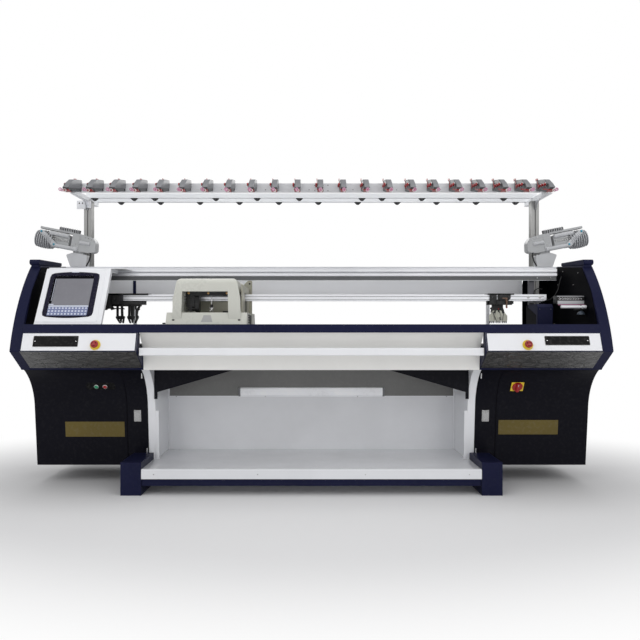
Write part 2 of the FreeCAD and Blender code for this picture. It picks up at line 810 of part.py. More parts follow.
def make_cabinets():
    """Both lower cabinets with their control plates, buttons and main switch."""
    depth, lean = brow_point("button_plate_height")
    foot = (f"{depth}", "button_plate_height", lean)
    left_pocket = obround("PocketLeft", "button_plate_length", "button_plate_width", "plate_recess * 2")
    right_pocket = face_box("PocketRight", "switch_plate_length", "plate_recess * 2", "button_plate_width")
    square_x = "switch_plate_x - switch_plate_length / 2"
    on_face(left_pocket, "button_plate_x", *foot, ("0", "-plate_recess", "0"))
    on_face(right_pocket, square_x, *foot, ("0", "-plate_recess", "-button_plate_width / 2"))
    make_cabinet("Left", -1, left_pocket)
    make_cabinet("Right", 1, right_pocket)

    left_plate = obround("ButtonPlate", "button_plate_length - 1", "button_plate_width - 1", "plate_sheet")
    on_face(left_plate, "button_plate_x", *foot, ("0", "plate_recess - plate_sheet", "0"))
    right_plate = face_box("SwitchPlate", "switch_plate_length - 1", "plate_sheet", "button_plate_width - 1")
    on_face(right_plate, f"{square_x} + 0.5", *foot,
            ("0", "plate_recess - plate_sheet", "0.5 - button_plate_width / 2"))
    square = face_box("SwitchSquare", "switch_square", "plate_sheet", "button_plate_width - 4")
    on_face(square, "switch_plate_x - switch_square / 2", *foot,
            ("0", "plate_recess - 2 * plate_sheet", "2 - button_plate_width / 2"))
    bezels = []
    for index, colour in ((0, "green"), (1, "red")):
        x = f"button_plate_x + (0.5 - {index}) * button_pitch"
        ring = face_ring(f"Bezel{index}", "bezel_rise", "bezel_radius", "button_radius + shoe_gap")
        button = face_stub(f"Button{index}", "button_radius", "button_rise")
        on_face(ring, x, *foot, ("0", "plate_recess - plate_sheet", "0"))
        on_face(button, x, *foot, ("0", "plate_recess - plate_sheet - button_travel - button_rise", "0"), "Y")
        bezels.append(mirrored(f"BezelLeft{index}", ring))
        node(f"{colour}_button", mirrored(f"ButtonLeft{index}", button))
    collar = make_emergency_stops()
    node("control_plates", group("ControlPlates", mirrored("ButtonPlateLeft", left_plate), right_plate, square,
                                 collar, mirrored("StopCollarLeft", collar), *bezels))
    disc = face_stub("SwitchDisc", "switch_knob_radius", "switch_knob_height / 2")
    grip = face_box("SwitchGrip", "switch_knob_radius / 2", "switch_knob_height / 2", "switch_knob_radius * 1.8")
    on_face(disc, "switch_plate_x", *foot,
            ("0", "plate_recess - 2 * plate_sheet - switch_clearance - switch_knob_height / 2", "0"), "Y")
    on_face(grip, "switch_plate_x - switch_knob_radius / 4", *foot,
            ("0", "plate_recess - 2 * plate_sheet - switch_knob_height", "-switch_knob_radius * 0.9"))
    node("main_switch", fuse("MainSwitch", disc, grip))


def make_service_doors():
    """Curved doors beside the fabric bay, each with a drop latch."""
    inner = "bay_half + wall_width + door_gap"
    seam = "bay_half + wall_width + service_width - door_gap"
    bottom = "foot_height + service_floor"
    top = "cabinet_top - 1"
    skin = [("cabinet_brow", top, BROW_BULGE), ("cabinet_knee", "cabinet_knee_height"),
            (toe_depth(bottom), bottom), (f"{toe_depth(bottom)} + door_sheet", bottom),
            ("cabinet_knee + door_sheet", "cabinet_knee_height", -BROW_BULGE),
            ("cabinet_brow + door_sheet", top)]
    door = prism("ServiceDoor", "X", inner, seam, skin)
    lean = -math.degrees(math.atan(size(TOE_SLOPE)))
    plate = face_box("LatchPlate", "latch_width", "latch_thick", "latch_length")
    slot = face_box("LatchSlot", "latch_slot", "latch_thick", "latch_length / 2")
    middle = "bay_half + wall_width + service_width / 2"
    top_depth = toe_depth("latch_top")
    on_face(plate, f"{middle} - latch_width / 2", top_depth, "latch_top", lean,
            ("0", "-latch_thick", "-latch_length"))
    on_face(slot, f"{middle} - latch_slot / 2", top_depth, "latch_top", lean,
            ("0", "-latch_thick", "-latch_length * 0.8"))
    latch = cut("Latch", plate, slot)
    node("service_door_right", door)
    node("door_latch_right", latch)
    node("service_door_left", mirrored("ServiceDoorLeft", door))
    node("door_latch_left", mirrored("LatchLeft", latch))


def make_consoles():
    """Console floors and fascias, strip panels, skirts, side plates and their caps."""
    inner_end = "frame_length / 2 - side_plate_width"
    strip_top = "nose_height + strip_rise"
    floor = [("strip_sheet", "nose_height"), ("strip_sheet + strip_run", strip_top),
             ("strip_sheet + strip_run + fascia_depth", strip_top),
             ("strip_sheet + strip_run + fascia_depth", "deck_top"), ("frame_depth", "deck_top"),
             ("frame_depth", "cabinet_top"), ("console_back", "cabinet_top"), ("skirt_back", "skirt_bottom")]
    base = prism("ConsoleBase", "X", "console_inner", inner_end, floor)
    pivot = cylinder("BarPivot", "X", "bar_pivot_radius", "bar_end_gap + bar_arm_width + 2",
                     "console_inner - bar_end_gap - bar_arm_width - 2", "bar_pivot", "bar_bottom + bar_height / 2")
    back = box("ConsoleRearWall", ("rear_panel_half + 2 * sheet", inner_end),
               ("rear_panel_depth", "rear_panel_depth + 2 * sheet"), ("deck_top", "console_wall_top"))
    cover_inner = f"{inner_end} - motor_cover_gap - motor_cover_length"
    cover = [("motor_cover_front + motor_cover_bevel", "deck_top"),
             ("motor_cover_front", "motor_cover_top - motor_cover_bevel"),
             ("motor_cover_front + motor_cover_bevel", "motor_cover_top"), ("column_front", "motor_cover_top"),
             ("column_front", "deck_top")]
    motor_cover = prism("MotorCover", "X", cover_inner, f"{cover_inner} + motor_cover_length", cover)
    plain = fuse("Console", base, pivot, back)
    node("console_right", fuse("ConsoleRight", plain, motor_cover))
    node("console_left", mirrored("ConsoleLeft", plain))

    strip = [("0", "nose_height"), ("strip_run", strip_top), ("strip_run + strip_sheet", strip_top),
             ("strip_sheet", "nose_height")]
    node("strip_panels", pair("Strips", prism("Strip", "X", "console_inner + strip_gap", inner_end, strip)))
    skirt = [("0", "nose_height"), ("strip_sheet", "nose_height"), ("skirt_back", "skirt_bottom"),
             ("skirt_back - strip_sheet", "skirt_bottom")]
    node("skirts", pair("Skirts", prism("Skirt", "X", "console_inner + strip_gap", inner_end, skirt)))

    side = [("strip_sheet + 3", "nose_height", 0.136), ("side_top_front", "side_top_height"),
            ("side_top_rear", "side_rear_height"), ("side_top_rear + 60", "side_rear_height - 40"),
            ("frame_depth", "side_shoulder"), ("frame_depth", "cabinet_top"), ("console_back", "cabinet_top"),
            ("skirt_back", "skirt_bottom")]
    plate = prism("SidePlate", "X", inner_end, "frame_length / 2", side)
    cap = [("side_top_front", "side_top_height", 0.68),
           ("side_top_front", "side_top_height + cap_front_height"),
           ("side_top_rear", "side_rear_height + cap_rear_height"), ("side_top_rear", "side_rear_height")]
    rail = prism("SideCap", "X", inner_end, "frame_length / 2", cap)
    node("side_plates", pair("SidePlates", group("SideAndCap", plate, rail)))


def make_front():
    """Front beam, front cover and the operating bar on its pivots."""
    inner_end = "frame_length / 2 - side_plate_width"
    top = "nose_height + strip_rise"
    beam = [("strip_run", top), ("strip_run + beam_lean", f"{top} + beam_height"),
            ("strip_run + beam_lean + beam_depth", f"{top} + beam_height"),
            ("strip_run + beam_lean + beam_depth", top)]
    node("front_beam", prism("FrontBeam", "X", f"-({inner_end})", inner_end, beam))
    half = "console_inner - cover_seam"
    cover = [("strip_run + beam_lean", top), ("cover_knee", "cover_knee_height"),
             ("cover_foot", "cabinet_top"),
             ("cover_foot + cover_sheet", "cabinet_top"), ("cover_knee + cover_sheet", "cover_knee_height"),
             ("strip_run + beam_lean + cover_sheet", top)]
    node("front_cover", prism("FrontCover", "X", f"-({half})", half, cover))

    end = "console_inner - bar_end_gap"
    bar = [("bar_front", "bar_bottom + 4"), ("bar_front + 4", "bar_bottom"),
           ("bar_front + bar_thick", "bar_bottom"),
           ("bar_front + bar_thick", "bar_bottom + bar_height"), ("bar_front + 4", "bar_bottom + bar_height"),
           ("bar_front", "bar_bottom + bar_height - 4")]
    rail = prism("BarRail", "X", f"-({end})", end, bar)
    middle = "bar_bottom + bar_height / 2"
    arm = [("bar_front + bar_thick", f"{middle} - 16"), ("bar_pivot + 10", f"{middle} - 16", -0.4),
           ("bar_pivot + 10", f"{middle} + 16"), ("bar_front + bar_thick", f"{middle} + 16")]
    bore = even_corners("bar_pivot", middle, around("bar_pivot_radius + running_gap"), ROUND_SIDES)
    right = prism("BarArmRight", "X", f"{end} - bar_arm_width", end, arm, bore)
    left = prism("BarArmLeft", "X", f"-({end})", f"bar_arm_width - ({end})", arm, bore)
    node("operating_bar", fuse("OperatingBar", rail, right, left))


def bed_outlines():
    """Side views of the front needle bed, of the trick cut into it and of a needle lying in that."""
    edge = "gap_centre - gap_half"
    skew = "bed_thick * sqrt(2) / 2"
    bed = [(edge, "bed_top"), (f"{edge} - bed_run", "bed_top - bed_run"),
           (f"{edge} - bed_run + {skew}", f"bed_top - bed_run - {skew}"), (edge, f"bed_top - 2 * {skew}")]
    floor = "trick_depth * sqrt(2) / 2"
    trick = [(f"{edge} + 5", "bed_top + 5"), (f"{edge} - bed_run - 5", "bed_top - bed_run - 5"),
             (f"{edge} - bed_run - 5 + {floor}", f"bed_top - bed_run - 5 - {floor}"),
             (f"{edge} + 5 + {floor}", f"bed_top + 5 - {floor}")]
    butt = "needle_butt * sqrt(2) / 2"
    needle = [(f"{edge} - 4 + {floor}", f"bed_top - 4 - {floor}"),
              (f"{edge} - 4", "bed_top - 4"),
              (f"{edge} - bed_run / 2", "bed_top - bed_run / 2"),
              (f"{edge} - bed_run / 2 - {butt}", f"bed_top - bed_run / 2 + {butt}"),
              (f"{edge} - bed_run / 2 - 8 - {butt}", f"bed_top - bed_run / 2 - 8 + {butt}"),
              (f"{edge} - bed_run / 2 - 8", "bed_top - bed_run / 2 - 8"),
              (f"{edge} - bed_run / 2 - 8 + {floor}", f"bed_top - bed_run / 2 - 8 - {floor}")]
    return bed, trick, needle


def make_beds():
    """Two grooved needle beds in an inverted V, their needles, the support and the carriage rails."""
    bed, trick, needle = bed_outlines()
    half = "bed_length / 2"
    pitch = size("bed_length") / size("trick_count")
    starts = [(index + 0.5) * pitch - size(half) for index in range(int(size("trick_count")))]
    needles = []
    for side, turn in (("front", list), ("rear", behind)):
        slab = prism(f"Bed_{side}", "X", f"-{half}", half, turn(bed))
        cutter = prism(f"Trick_{side}", "X", "-trick_width / 2", "trick_width / 2", turn(trick))
        tricks = row_of(f"Tricks_{side}", cutter, starts)
        node(f"needle_bed_{side}", cut(f"NeedleBed_{side}", slab, tricks))
        blank = prism(f"Needle_{side}", "X", "needle_gap - trick_width / 2", "trick_width / 2 - needle_gap",
                      turn(needle))
        needles.append(row_of(f"Needles_{side}", blank, starts))
    node("needles", group("Needles", *needles))

    seat = "bed_thick * sqrt(2)"
    corner = "gap_centre - gap_half - bed_run + bed_thick * sqrt(2) / 2"
    corner_height = "bed_top - bed_run - bed_thick * sqrt(2) / 2"
    support = [("gap_centre - throat_half", f"bed_top - {seat} - (throat_half - gap_half)"),
               (f"{corner} - ({corner_height} - deck_top)", "deck_top"), ("support_front", "deck_top"),
               ("support_front", "cabinet_top"), ("gap_centre - pocket_half", "cabinet_top"),
               ("gap_centre - pocket_half", "pocket_top"),
               ("gap_centre - throat_half", "pocket_top + pocket_half - throat_half")]
    front = prism("SupportFront", "X", "-console_inner", "console_inner", support)
    rear = prism("SupportRear", "X", "-console_inner", "console_inner", behind(support))
    centre = "roller_radius + roller_nip / 2"
    bores = [even_corners(f"gap_centre {sign} ({centre})", "roller_height", around("journal_radius + running_gap"),
                          ROUND_SIDES) for sign in "-+"]
    plate = [("gap_centre - pocket_half", "cabinet_top"), ("gap_centre + pocket_half", "cabinet_top"),
             ("gap_centre + pocket_half", "pocket_top"), ("gap_centre - pocket_half", "pocket_top")]
    start = "roller_half + 5"
    right = prism("BearingRight", "X", start, f"{start} + bearing_width", plate, *bores)
    left = prism("BearingLeft", "X", f"-({start}) - bearing_width", f"-({start})", plate, *bores)
    node("bed_support", fuse("BedSupport", front, rear, right, left))

    rail = ("rail_front", "rail_front + rail_width")
    rear_rail = ("2 * gap_centre - rail_front - rail_width", "2 * gap_centre - rail_front")
    rails = [box(f"Rail{index}", ("-rail_half", "rail_half"), deep, ("deck_top", "deck_top + rail_height"))
             for index, deep in enumerate((rail, rear_rail))]
    node("carriage_rails", group("CarriageRails", *rails))

    for side, sign in (("front", "-"), ("rear", "+")):
        depth = f"gap_centre {sign} ({centre})"
        drum = cylinder(f"Drum_{side}", "X", "roller_radius", "2 * roller_half", "-roller_half", depth,
                        "roller_height")
        axle = cylinder(f"Axle_{side}", "X", "journal_radius", "2 * roller_half + 4 * bearing_width / 2 + 14",
                        "-roller_half - bearing_width - 7", depth, "roller_height")
        node(f"takedown_roller_{side}", fuse(f"Roller_{side}", drum, axle))


def make_carriage():
    """Carriage: a cam box over each bed, side plates and a moulded bow with a window."""
    length = "carriage_length / 2"
    foot = "deck_top + rail_height + shoe_gap"
    lift = "bed_top - gap_centre + gap_half + cam_gap * sqrt(2)"
    tongue = "gap_centre - cam_tongue"
    cam = [("cam_box_front", foot), ("cam_box_front", "cam_box_shoulder"), ("cam_slope_front", "cam_slope_foot"),
           ("cam_top_front", "cam_top"), ("gap_centre - cam_box_rear_gap", "cam_top"),
           ("gap_centre - cam_box_rear_gap", "cam_tongue_top"), (tongue, "cam_tongue_top"),
           (tongue, f"{tongue} + {lift}"), (f"{foot} - ({lift})", foot)]
    low, high = f"carriage_centre - {length}", f"carriage_centre + {length}"
    belt_top = "drive_height + pulley_radius + belt_thick + running_gap"
    clamp = box("BeltClamp",
                ("carriage_centre - belt_clamp_length / 2", "carriage_centre + belt_clamp_length / 2"),
                ("2 * gap_centre - cam_box_front - 15", "drive_depth + pulley_width - 2"),
                (f"{belt_top} + shoe_gap", f"{belt_top} + shoe_gap + belt_clamp_sheet"))
    rear = fuse("CamRearAndClamp", prism("CamRear", "X", low, high, behind(cam)), clamp)
    node("carriage_cam_boxes", group("CamBoxes", prism("CamFront", "X", low, high, cam), rear))

    slope = "(cam_top_front - cam_slope_front) / (cam_top - cam_slope_foot)"
    foot_depth = f"cam_slope_front + (bow_foot - cam_slope_foot) * {slope}"
    arch = [(foot_depth, "bow_foot"), (foot_depth, "bow_top - bow_shoulder", 0.4),
            (f"{foot_depth} + bow_shoulder", "bow_top")]
    arch.extend([(f"2 * gap_centre - ({foot_depth}) - bow_shoulder", "bow_top", 0.4),
                 (f"2 * gap_centre - ({foot_depth})", "bow_top - bow_shoulder"),
                 (f"2 * gap_centre - ({foot_depth})", "bow_foot"),
                 ("2 * gap_centre - cam_top_front", "cam_top"),
                 ("2 * gap_centre - bow_front - bow_wall", "cam_top"),
                 ("2 * gap_centre - bow_front - bow_wall", "tunnel_top"),
                 ("bow_front + bow_wall", "tunnel_top"), ("bow_front + bow_wall", "cam_top"),
                 ("cam_top_front", "cam_top")])
    side = prism("BowSide", "X", "carriage_centre - bow_length / 2", "carriage_centre + bow_length / 2", arch)
    left, right = "carriage_centre - bow_length / 2", "carriage_centre + bow_length / 2"
    start = "bow_foot - bow_window_corner"
    inner_left, inner_right = f"{left} + bow_leg", f"{right} - bow_leg"
    sill = "window_top - bow_window_corner"
    portal = [(left, start), (f"{left} + bow_taper", "bow_top - bow_shoulder", 0.4),
              (f"{left} + bow_taper + bow_shoulder", "bow_top"),
              (f"{right} - bow_taper - bow_shoulder", "bow_top", 0.4),
              (f"{right} - bow_taper", "bow_top - bow_shoulder"), (right, start), (inner_right, start),
              (inner_right, sill, 0.4), (f"{inner_right} - bow_window_corner", "window_top"),
              (f"{inner_left} + bow_window_corner", "window_top", 0.4), (inner_left, sill), (inner_left, start)]
    near, far = "cam_box_front", "2 * gap_centre - cam_box_front"
    front = prism("BowFront", "Y", near, far, portal)
    near, far = foot_depth, f"2 * gap_centre - ({foot_depth})"
    plan = [(left, f"{near} + bow_corner"), (f"{left} + bow_corner", near), (f"{right} - bow_corner", near),
            (right, f"{near} + bow_corner"), (right, f"{far} - bow_corner"), (f"{right} - bow_corner", far),
            (f"{left} + bow_corner", far), (left, f"{far} - bow_corner")]
    seen_from_above = prism("BowPlan", "Z", start, "bow_top", plan)
    node("carriage_bow", common("Bow", common("BowArch", side, front), seen_from_above))

    inset = "cam_top_front + side_plate_inset"
    plate = [(inset, "cam_top"), (inset, "bow_top - bow_shoulder - bow_shoulder"),
             (f"{inset} + bow_shoulder", "bow_top - bow_shoulder"),
             (f"2 * gap_centre - ({inset}) - bow_shoulder", "bow_top - bow_shoulder"),
             (f"2 * gap_centre - ({inset})", "bow_top - 2 * bow_shoulder"),
             (f"2 * gap_centre - ({inset})", "cam_top"), ("gap_centre + cam_box_rear_gap", "cam_top"),
             ("gap_centre + cam_box_rear_gap", "window_top"), ("gap_centre - cam_box_rear_gap", "window_top"),
             ("gap_centre - cam_box_rear_gap", "cam_top")]
    holes = [even_corners(f"gap_centre {sign} side_hole_reach", f"cam_top + side_hole_pitch * {step}",
                          "side_hole_radius", 8) for sign in "-+" for step in (1, 2)]
    right_plate = prism("CarriageSideRight", "X", right, f"{right} + side_sheet", plate, *holes)
    left_plate = prism("CarriageSideLeft", "X", f"{left} - side_sheet", left, plate, *holes)
    flange_rear = f"2 * gap_centre - ({inset}) - side_flange"
    flange = box("SideFlange", (f"{right} + side_sheet", f"{right} + side_sheet + side_flange"),
                 (flange_rear, f"{flange_rear} + side_sheet"), ("cam_top", "bow_top - 2 * bow_shoulder"))
    flanged = fuse("SideAndFlange", right_plate, flange)
    node("carriage_side_plates", group("CarriageSides", flanged, left_plate))


def make_top_beam():
    """Grooved beam over the carriage, the columns that hold it, and the yarn carrier rails."""
    front = "top_beam_front"
    rear = "top_beam_front + top_beam_depth"
    low, high = "top_beam_bottom", "top_beam_bottom + top_beam_height"
    band = "top_beam_bottom - top_beam_band"
    groove = "top_beam_groove"
    section = [(f"{front} + {groove}", band), (f"{front} + {groove}", low), (front, low), (front, f"{low} + 16"),
               (f"{front} + {groove}", f"{low} + 18"), (f"{front} + {groove}", f"{low} + 24"),
               (front, f"{low} + 26"), (front, f"{high} - 14"), (f"{front} + {groove}", f"{high} - 12"),
               (f"{front} + {groove}", f"{high} - 6"), (front, f"{high} - 4"), (front, high), (rear, high),
               (rear, low), (f"{rear} - {groove}", low), (f"{rear} - {groove}", band)]
    node("top_beam", prism("TopBeam", "X", "-top_beam_half", "top_beam_half", section))

    x = ("column_x", "column_x + column_width")
    shelf_front = "gap_centre - (carrier_rail_count - 1) * carrier_rail_pitch / 2 - carrier_rail_thick"
    post = box("ColumnPost", x, ("column_front", "column_front + column_width"), ("deck_top", high))
    arm = box("ColumnArm", x, (rear, "column_front"), (f"{low} + 10", f"{high} - 10"))
    shelf = box("ColumnShelf", x, (shelf_front, "column_front"),
                ("carrier_rail_bottom - carrier_shelf", "carrier_rail_bottom"))
    node("columns", pair("Columns", fuse("Column", post, arm, shelf)))

    rails = []
    for index in range(int(size("carrier_rail_count"))):
        centre = f"gap_centre + ({index} - (carrier_rail_count - 1) / 2) * carrier_rail_pitch"
        rails.append(box(f"CarrierRail{index}", ("-carrier_rail_half", "carrier_rail_half"),
                         (f"{centre} - carrier_rail_thick / 2", f"{centre} + carrier_rail_thick / 2"),
                         ("carrier_rail_bottom", "carrier_rail_bottom + carrier_rail_height")))
    node("carrier_rails", group("CarrierRails", *rails))


def carrier_section():
    """Side view of a yarn carrier's slider and of the middle rail's way through it."""
    inner = "carrier_rail_thick / 2 + carrier_gap"
    outer = f"{inner} + carrier_cheek"
    low = "carrier_rail_bottom - carrier_bar_height"
    top = "carrier_rail_bottom + carrier_rail_height + carrier_top_gap + carrier_top_sheet"
    tube = [(f"gap_centre - ({outer})", low), (f"gap_centre + {outer}", low), (f"gap_centre + {outer}", top),
            (f"gap_centre - ({outer})", top)]
    under = "carrier_rail_bottom - carrier_gap"
    over = "carrier_rail_bottom + carrier_rail_height + carrier_gap"
    way = [(f"gap_centre - ({inner})", under), (f"gap_centre + {inner}", under), (f"gap_centre + {inner}", over),
           (f"gap_centre - ({inner})", over)]
    return tube, way


def slider(name, start, length, nose):
    """Build a slider: its tube round the rail, the wide bar below and the pointed plate above the rails."""
    end = f"{start} + {length}"
    tube, way = carrier_section()
    spine = prism(name + "Spine", "X", start, end, tube, way)
    low = "carrier_rail_bottom - carrier_bar_height"
    bar = box(name + "Bar", (start, end), ("gap_centre - carrier_bar_reach", "gap_centre + carrier_bar_reach"),
              (low, "carrier_rail_bottom - carrier_top_gap"))
    near, far = "gap_centre - carrier_top_reach", "gap_centre + carrier_top_reach"
    wide = f"{end} - carrier_top_nose" if nose > 0 else f"{start} + carrier_top_nose"
    tip = f"{end} + carrier_top_nose" if nose > 0 else f"{start} - carrier_top_nose / 2"
    foot = start if nose > 0 else end
    top = [(foot, near), (wide, near), (tip, "gap_centre"), (wide, far), (foot, far)]
    bottom = "carrier_rail_bottom + carrier_rail_height + carrier_top_gap"
    return [spine, bar, prism(name + "Top", "Z", bottom, f"{bottom} + carrier_top_sheet", top)]


def yarn_arm(name, top, tip, width):
    """Build one bent yarn arm that runs from the bar to its narrow tip."""
    bar_low = "carrier_rail_bottom - carrier_bar_height"
    outline = [(f"{top} - {width}", bar_low), (top, bar_low), (f"{top} + {width}", "carrier_belly"),
               (f"{tip} + {width} / 3", "carrier_tip"), (f"{tip} - {width} / 3", "carrier_tip"),
               (f"{top} - {width} / 3", "carrier_belly")]
    return prism(name, "Y", "gap_centre - finger_sheet / 2", "gap_centre + finger_sheet / 2", outline)


def make_yarn_carriers():
    """The two yarn carriers on the middle rail: one with paired arms and hooks, one with a fan of leaves."""
    start = "left_carrier_x"
    pieces = slider("Left", start, "left_carrier_length", 1)
    for index, share in enumerate((0.34, 0.42, 0.66, 0.76)):
        middle = f"{start} + left_carrier_length * {share}"
        lean = "+ carrier_arm_lean" if index % 2 == 0 else "- carrier_arm_lean"
        pieces.append(yarn_arm(f"LeftArm{index}", middle, f"{middle} {lean}", "carrier_arm_width"))
    low = "carrier_rail_bottom - carrier_bar_height"
    for index, share in enumerate((0.05, 0.2, 0.53, 0.9)):
        middle = f"{start} + left_carrier_length * {share}"
        pieces.append(box(f"LeftHook{index}", (middle, f"{middle} + finger_sheet"),
                          ("gap_centre - carrier_bar_reach", "gap_centre - carrier_bar_reach + 2 * finger_sheet"),
                          (f"{low} - carrier_hook", low)))
    node("yarn_carrier_left", fuse("CarrierLeft", *pieces))

    start = "right_carrier_x"
    pieces = slider("Right", start, "right_carrier_length", -1)
    middle = f"{start} + right_carrier_length * 0.42"
    hub = box("FanHub", (f"{middle} - fan_hub / 2", f"{middle} + fan_hub / 2"),
              ("gap_centre - carrier_bar_reach / 2", "gap_centre + carrier_bar_reach / 2"),
              (f"{low} - carrier_hook", low))
    pieces.append(hub)
    for index in range(FAN_LEAVES):
        spread = f"fan_width * ({index} - {FAN_LEAVES - 1} / 2) / {FAN_LEAVES - 1}"
        outline = [(f"{middle} + ({spread}) * 0.4 - 4", f"{low} - carrier_hook"),
                   (f"{middle} + ({spread}) * 0.4 + 4", f"{low} - carrier_hook"),
                   (f"{middle} + {spread} + finger_sheet / 2", "carrier_belly - carrier_hook / 2"),
                   (f"{middle} + {spread} + 1", "carrier_tip"), (f"{middle} + {spread} - 1", "carrier_tip"),
                   (f"{middle} + {spread} - finger_sheet / 2", "carrier_belly - carrier_hook / 2")]
        pieces.append(prism(f"FanLeaf{index}", "Y",
                            "gap_centre - finger_sheet / 4", "gap_centre + finger_sheet / 4",
                            outline))
    node("yarn_carrier_right", fuse("CarrierRight", *pieces))


def make_rear_panel():
    """White panel along the rear with the two stays that hold it up."""
    top = "rear_panel_bottom + rear_panel_height"
    panel = box("RearSheet", ("-rear_panel_half", "rear_panel_half"),
                ("rear_panel_depth", "rear_panel_depth + panel_sheet"), ("rear_panel_bottom", top))
    stay = box("RearStay", ("rear_stay_x", "rear_stay_x + rear_stay_width"),
               ("rear_panel_depth + panel_sheet", "rear_panel_depth + panel_sheet + rear_stay_width"),
               ("deck_top", top))
    node("rear_panel", group("RearPanel", panel, stay, mirrored("RearStayLeft", stay)))


def make_yarn_frame():
    """Slotted posts, end arms, bars and the plate that carries the tension units."""
    x, far = "post_x", "post_x + post_width"
    near, back = "post_front", "post_front + post_width"
    mid_x, mid_y, half = "post_x + post_width / 2", "post_front + post_width / 2", "post_slot / 2"
    depth = "post_slot"
    post = [(x, near), (f"{mid_x} - {half}", near), (f"{mid_x} - {half}", f"{near} + {depth}"),
            (f"{mid_x} + {half}", f"{near} + {depth}"), (f"{mid_x} + {half}", near), (far, near),
            (far, f"{mid_y} - {half}"), (f"{far} - {depth}", f"{mid_y} - {half}"),
            (f"{far} - {depth}", f"{mid_y} + {half}"), (far, f"{mid_y} + {half}"), (far, back),
            (f"{mid_x} + {half}", back), (f"{mid_x} + {half}", f"{back} - {depth}"),
            (f"{mid_x} - {half}", f"{back} - {depth}"), (f"{mid_x} - {half}", back), (x, back),
            (x, f"{mid_y} + {half}"), (f"{x} + {depth}", f"{mid_y} + {half}"),
            (f"{x} + {depth}", f"{mid_y} - {half}"), (x, f"{mid_y} - {half}")]
    node("posts", pair("Posts", prism("Post", "Z", "deck_top", "gantry_bottom", post)))
    arm_top = "gantry_bottom + arm_height"
    arm = prism("Arm", "X", "arm_x", "arm_x + arm_width",
                [("arm_front", "gantry_bottom"), ("arm_rear", "gantry_bottom"), ("arm_rear", arm_top),
                 ("gantry_plate_depth - arm_nose", arm_top), ("arm_front", "gantry_bottom + panel_sheet")])
    bars = [box(name, ("-gantry_half", "gantry_half"), (front, f"{front} + bar_width"),
                (arm_top, f"{arm_top} + gantry_bar_height"))
            for name, front in (("MidBar", "mid_bar_front"), ("RearBar", "rear_bar_front"))]
    node("gantry_bars", group("GantryBars", arm, mirrored("ArmLeft", arm), *bars))
    plate = box("PlateSheet", ("-gantry_plate_half", "gantry_plate_half"),
                ("gantry_plate_depth", "gantry_plate_depth + panel_sheet"),
                (arm_top, f"{arm_top} + gantry_plate_height"))
    joint = box("PlateJoint", ("joint_plate_x", "joint_plate_x + joint_plate_length"),
                ("gantry_plate_depth + panel_sheet", "gantry_plate_depth + 2 * panel_sheet"),
                (f"{arm_top} + 4", f"{arm_top} + gantry_plate_height - 4"))
    node("gantry_plate", fuse("GantryPlate", plate, joint))

    hole_height = f"{arm_top} - eyelet_drop / 2"
    eyelet = [("-eyelet_width / 2", arm_top), ("-eyelet_foot / 2", f"{arm_top} - eyelet_drop"),
              ("eyelet_foot / 2", f"{arm_top} - eyelet_drop"), ("eyelet_width / 2", arm_top)]
    rows = []
    for name, front, shares in (("Mid", "mid_bar_front", MID_EYELETS), ("Rear", "rear_bar_front", REAR_EYELETS)):
        master = prism(f"Eyelet{name}", "Y", f"{front} + eyelet_setback", f"{front} + bar_width - eyelet_setback",
                       eyelet, even_corners("0", hole_height, "eyelet_hole", 4))
        rows.append(row_of(f"Eyelets{name}", master, [share * size("gantry_half") for share in shares]))
    node("thread_eyelets", group("Eyelets", *rows))


def make_tension_units():
    """Row of yarn tension units that nod forwards from the plate: bodies, red controls and guide rings."""
    count = int(size("unit_count"))
    offsets = [(index - (count - 1) / 2) * size("unit_pitch") - size("unit_shift") for index in range(count)]
    half = "unit_width / 2"
    top, rear = "unit_bottom + unit_height", "gantry_plate_depth"
    low, chin = "unit_bottom - unit_drop", ("unit_front", "unit_bottom - unit_drop + unit_chin")
    brow = f"{chin[1]} + unit_nose_height"
    cover = [chin, ("unit_front + unit_brow / 2", low), ("unit_front + unit_nose_height + unit_brow", low),
             (rear, "unit_bottom"), (rear, top),
             ("unit_front + unit_nose_lean + unit_brow / 2", f"{brow} + unit_chin"),
             ("unit_front + unit_nose_lean", brow)]
    node("tension_unit_bodies",
         row_of("UnitBodies", prism("UnitBody", "X", f"-{half}", half, cover), offsets))

    controls = []
    for index in range(KNOB_COUNT):
        grip = even_corners(f"unit_front + knob_front + knob_spacing * {index}",
                            f"knob_height + {index} * lever_sheet", "knob_radius", 6)
        controls.append(prism(f"Knob{index}", "X", f"-{half} - knob_length", f"-{half}", grip))
    controls.append(box("UnitLever", (f"-{half} - lever_sheet", half),
                        ("unit_front + unit_brow / 2", "unit_front + unit_brow / 2 + lever_length / 2"),
                        (f"{low} - lever_sheet", low)))
    controls.append(box("UnitTab", (f"-{half} - lever_sheet", f"-{half}"), (f"{rear} - tab_length", rear),
                        (f"{top} + tab_rise - tab_height", f"{top} + tab_rise")))
    node("tension_controls", row_of("UnitControls", group("UnitControl", *controls), offsets))

    hoop = prism("Hoop", "Y", "ring_depth", "ring_depth + ring_thick",
                 even_corners("0", "ring_height", "ring_radius", 6),
                  even_corners("0", "ring_height", "ring_hole", 6))
    back = "ring_depth + ring_thick"
    stem = prism("RingStem", "X", "ring_hole + 1", "ring_hole + ring_thick",
                 [(back, "ring_height - ring_thick / 2"), ("unit_front + unit_brow / 2", low), chin,
                  (back, "ring_height + ring_thick / 2")])
    node("tension_rings", row_of("Rings", fuse("Ring", hoop, stem), offsets))


def lean_out(obj, pivot):
    """Lean a group built about the origin outwards and set it on the feeder's pivot."""
    x, depth, height = pivot
    obj.Placement.Rotation = FreeCAD.Rotation(FreeCAD.Vector(0, 1, 0), -size("feeder_lean"))
    bind(obj, Placement__Rotation__Angle="feeder_lean * 1deg")
    obj.Placement.Rotation.Axis = FreeCAD.Vector(0, -1, 0)
    return place(obj, x, depth, height)


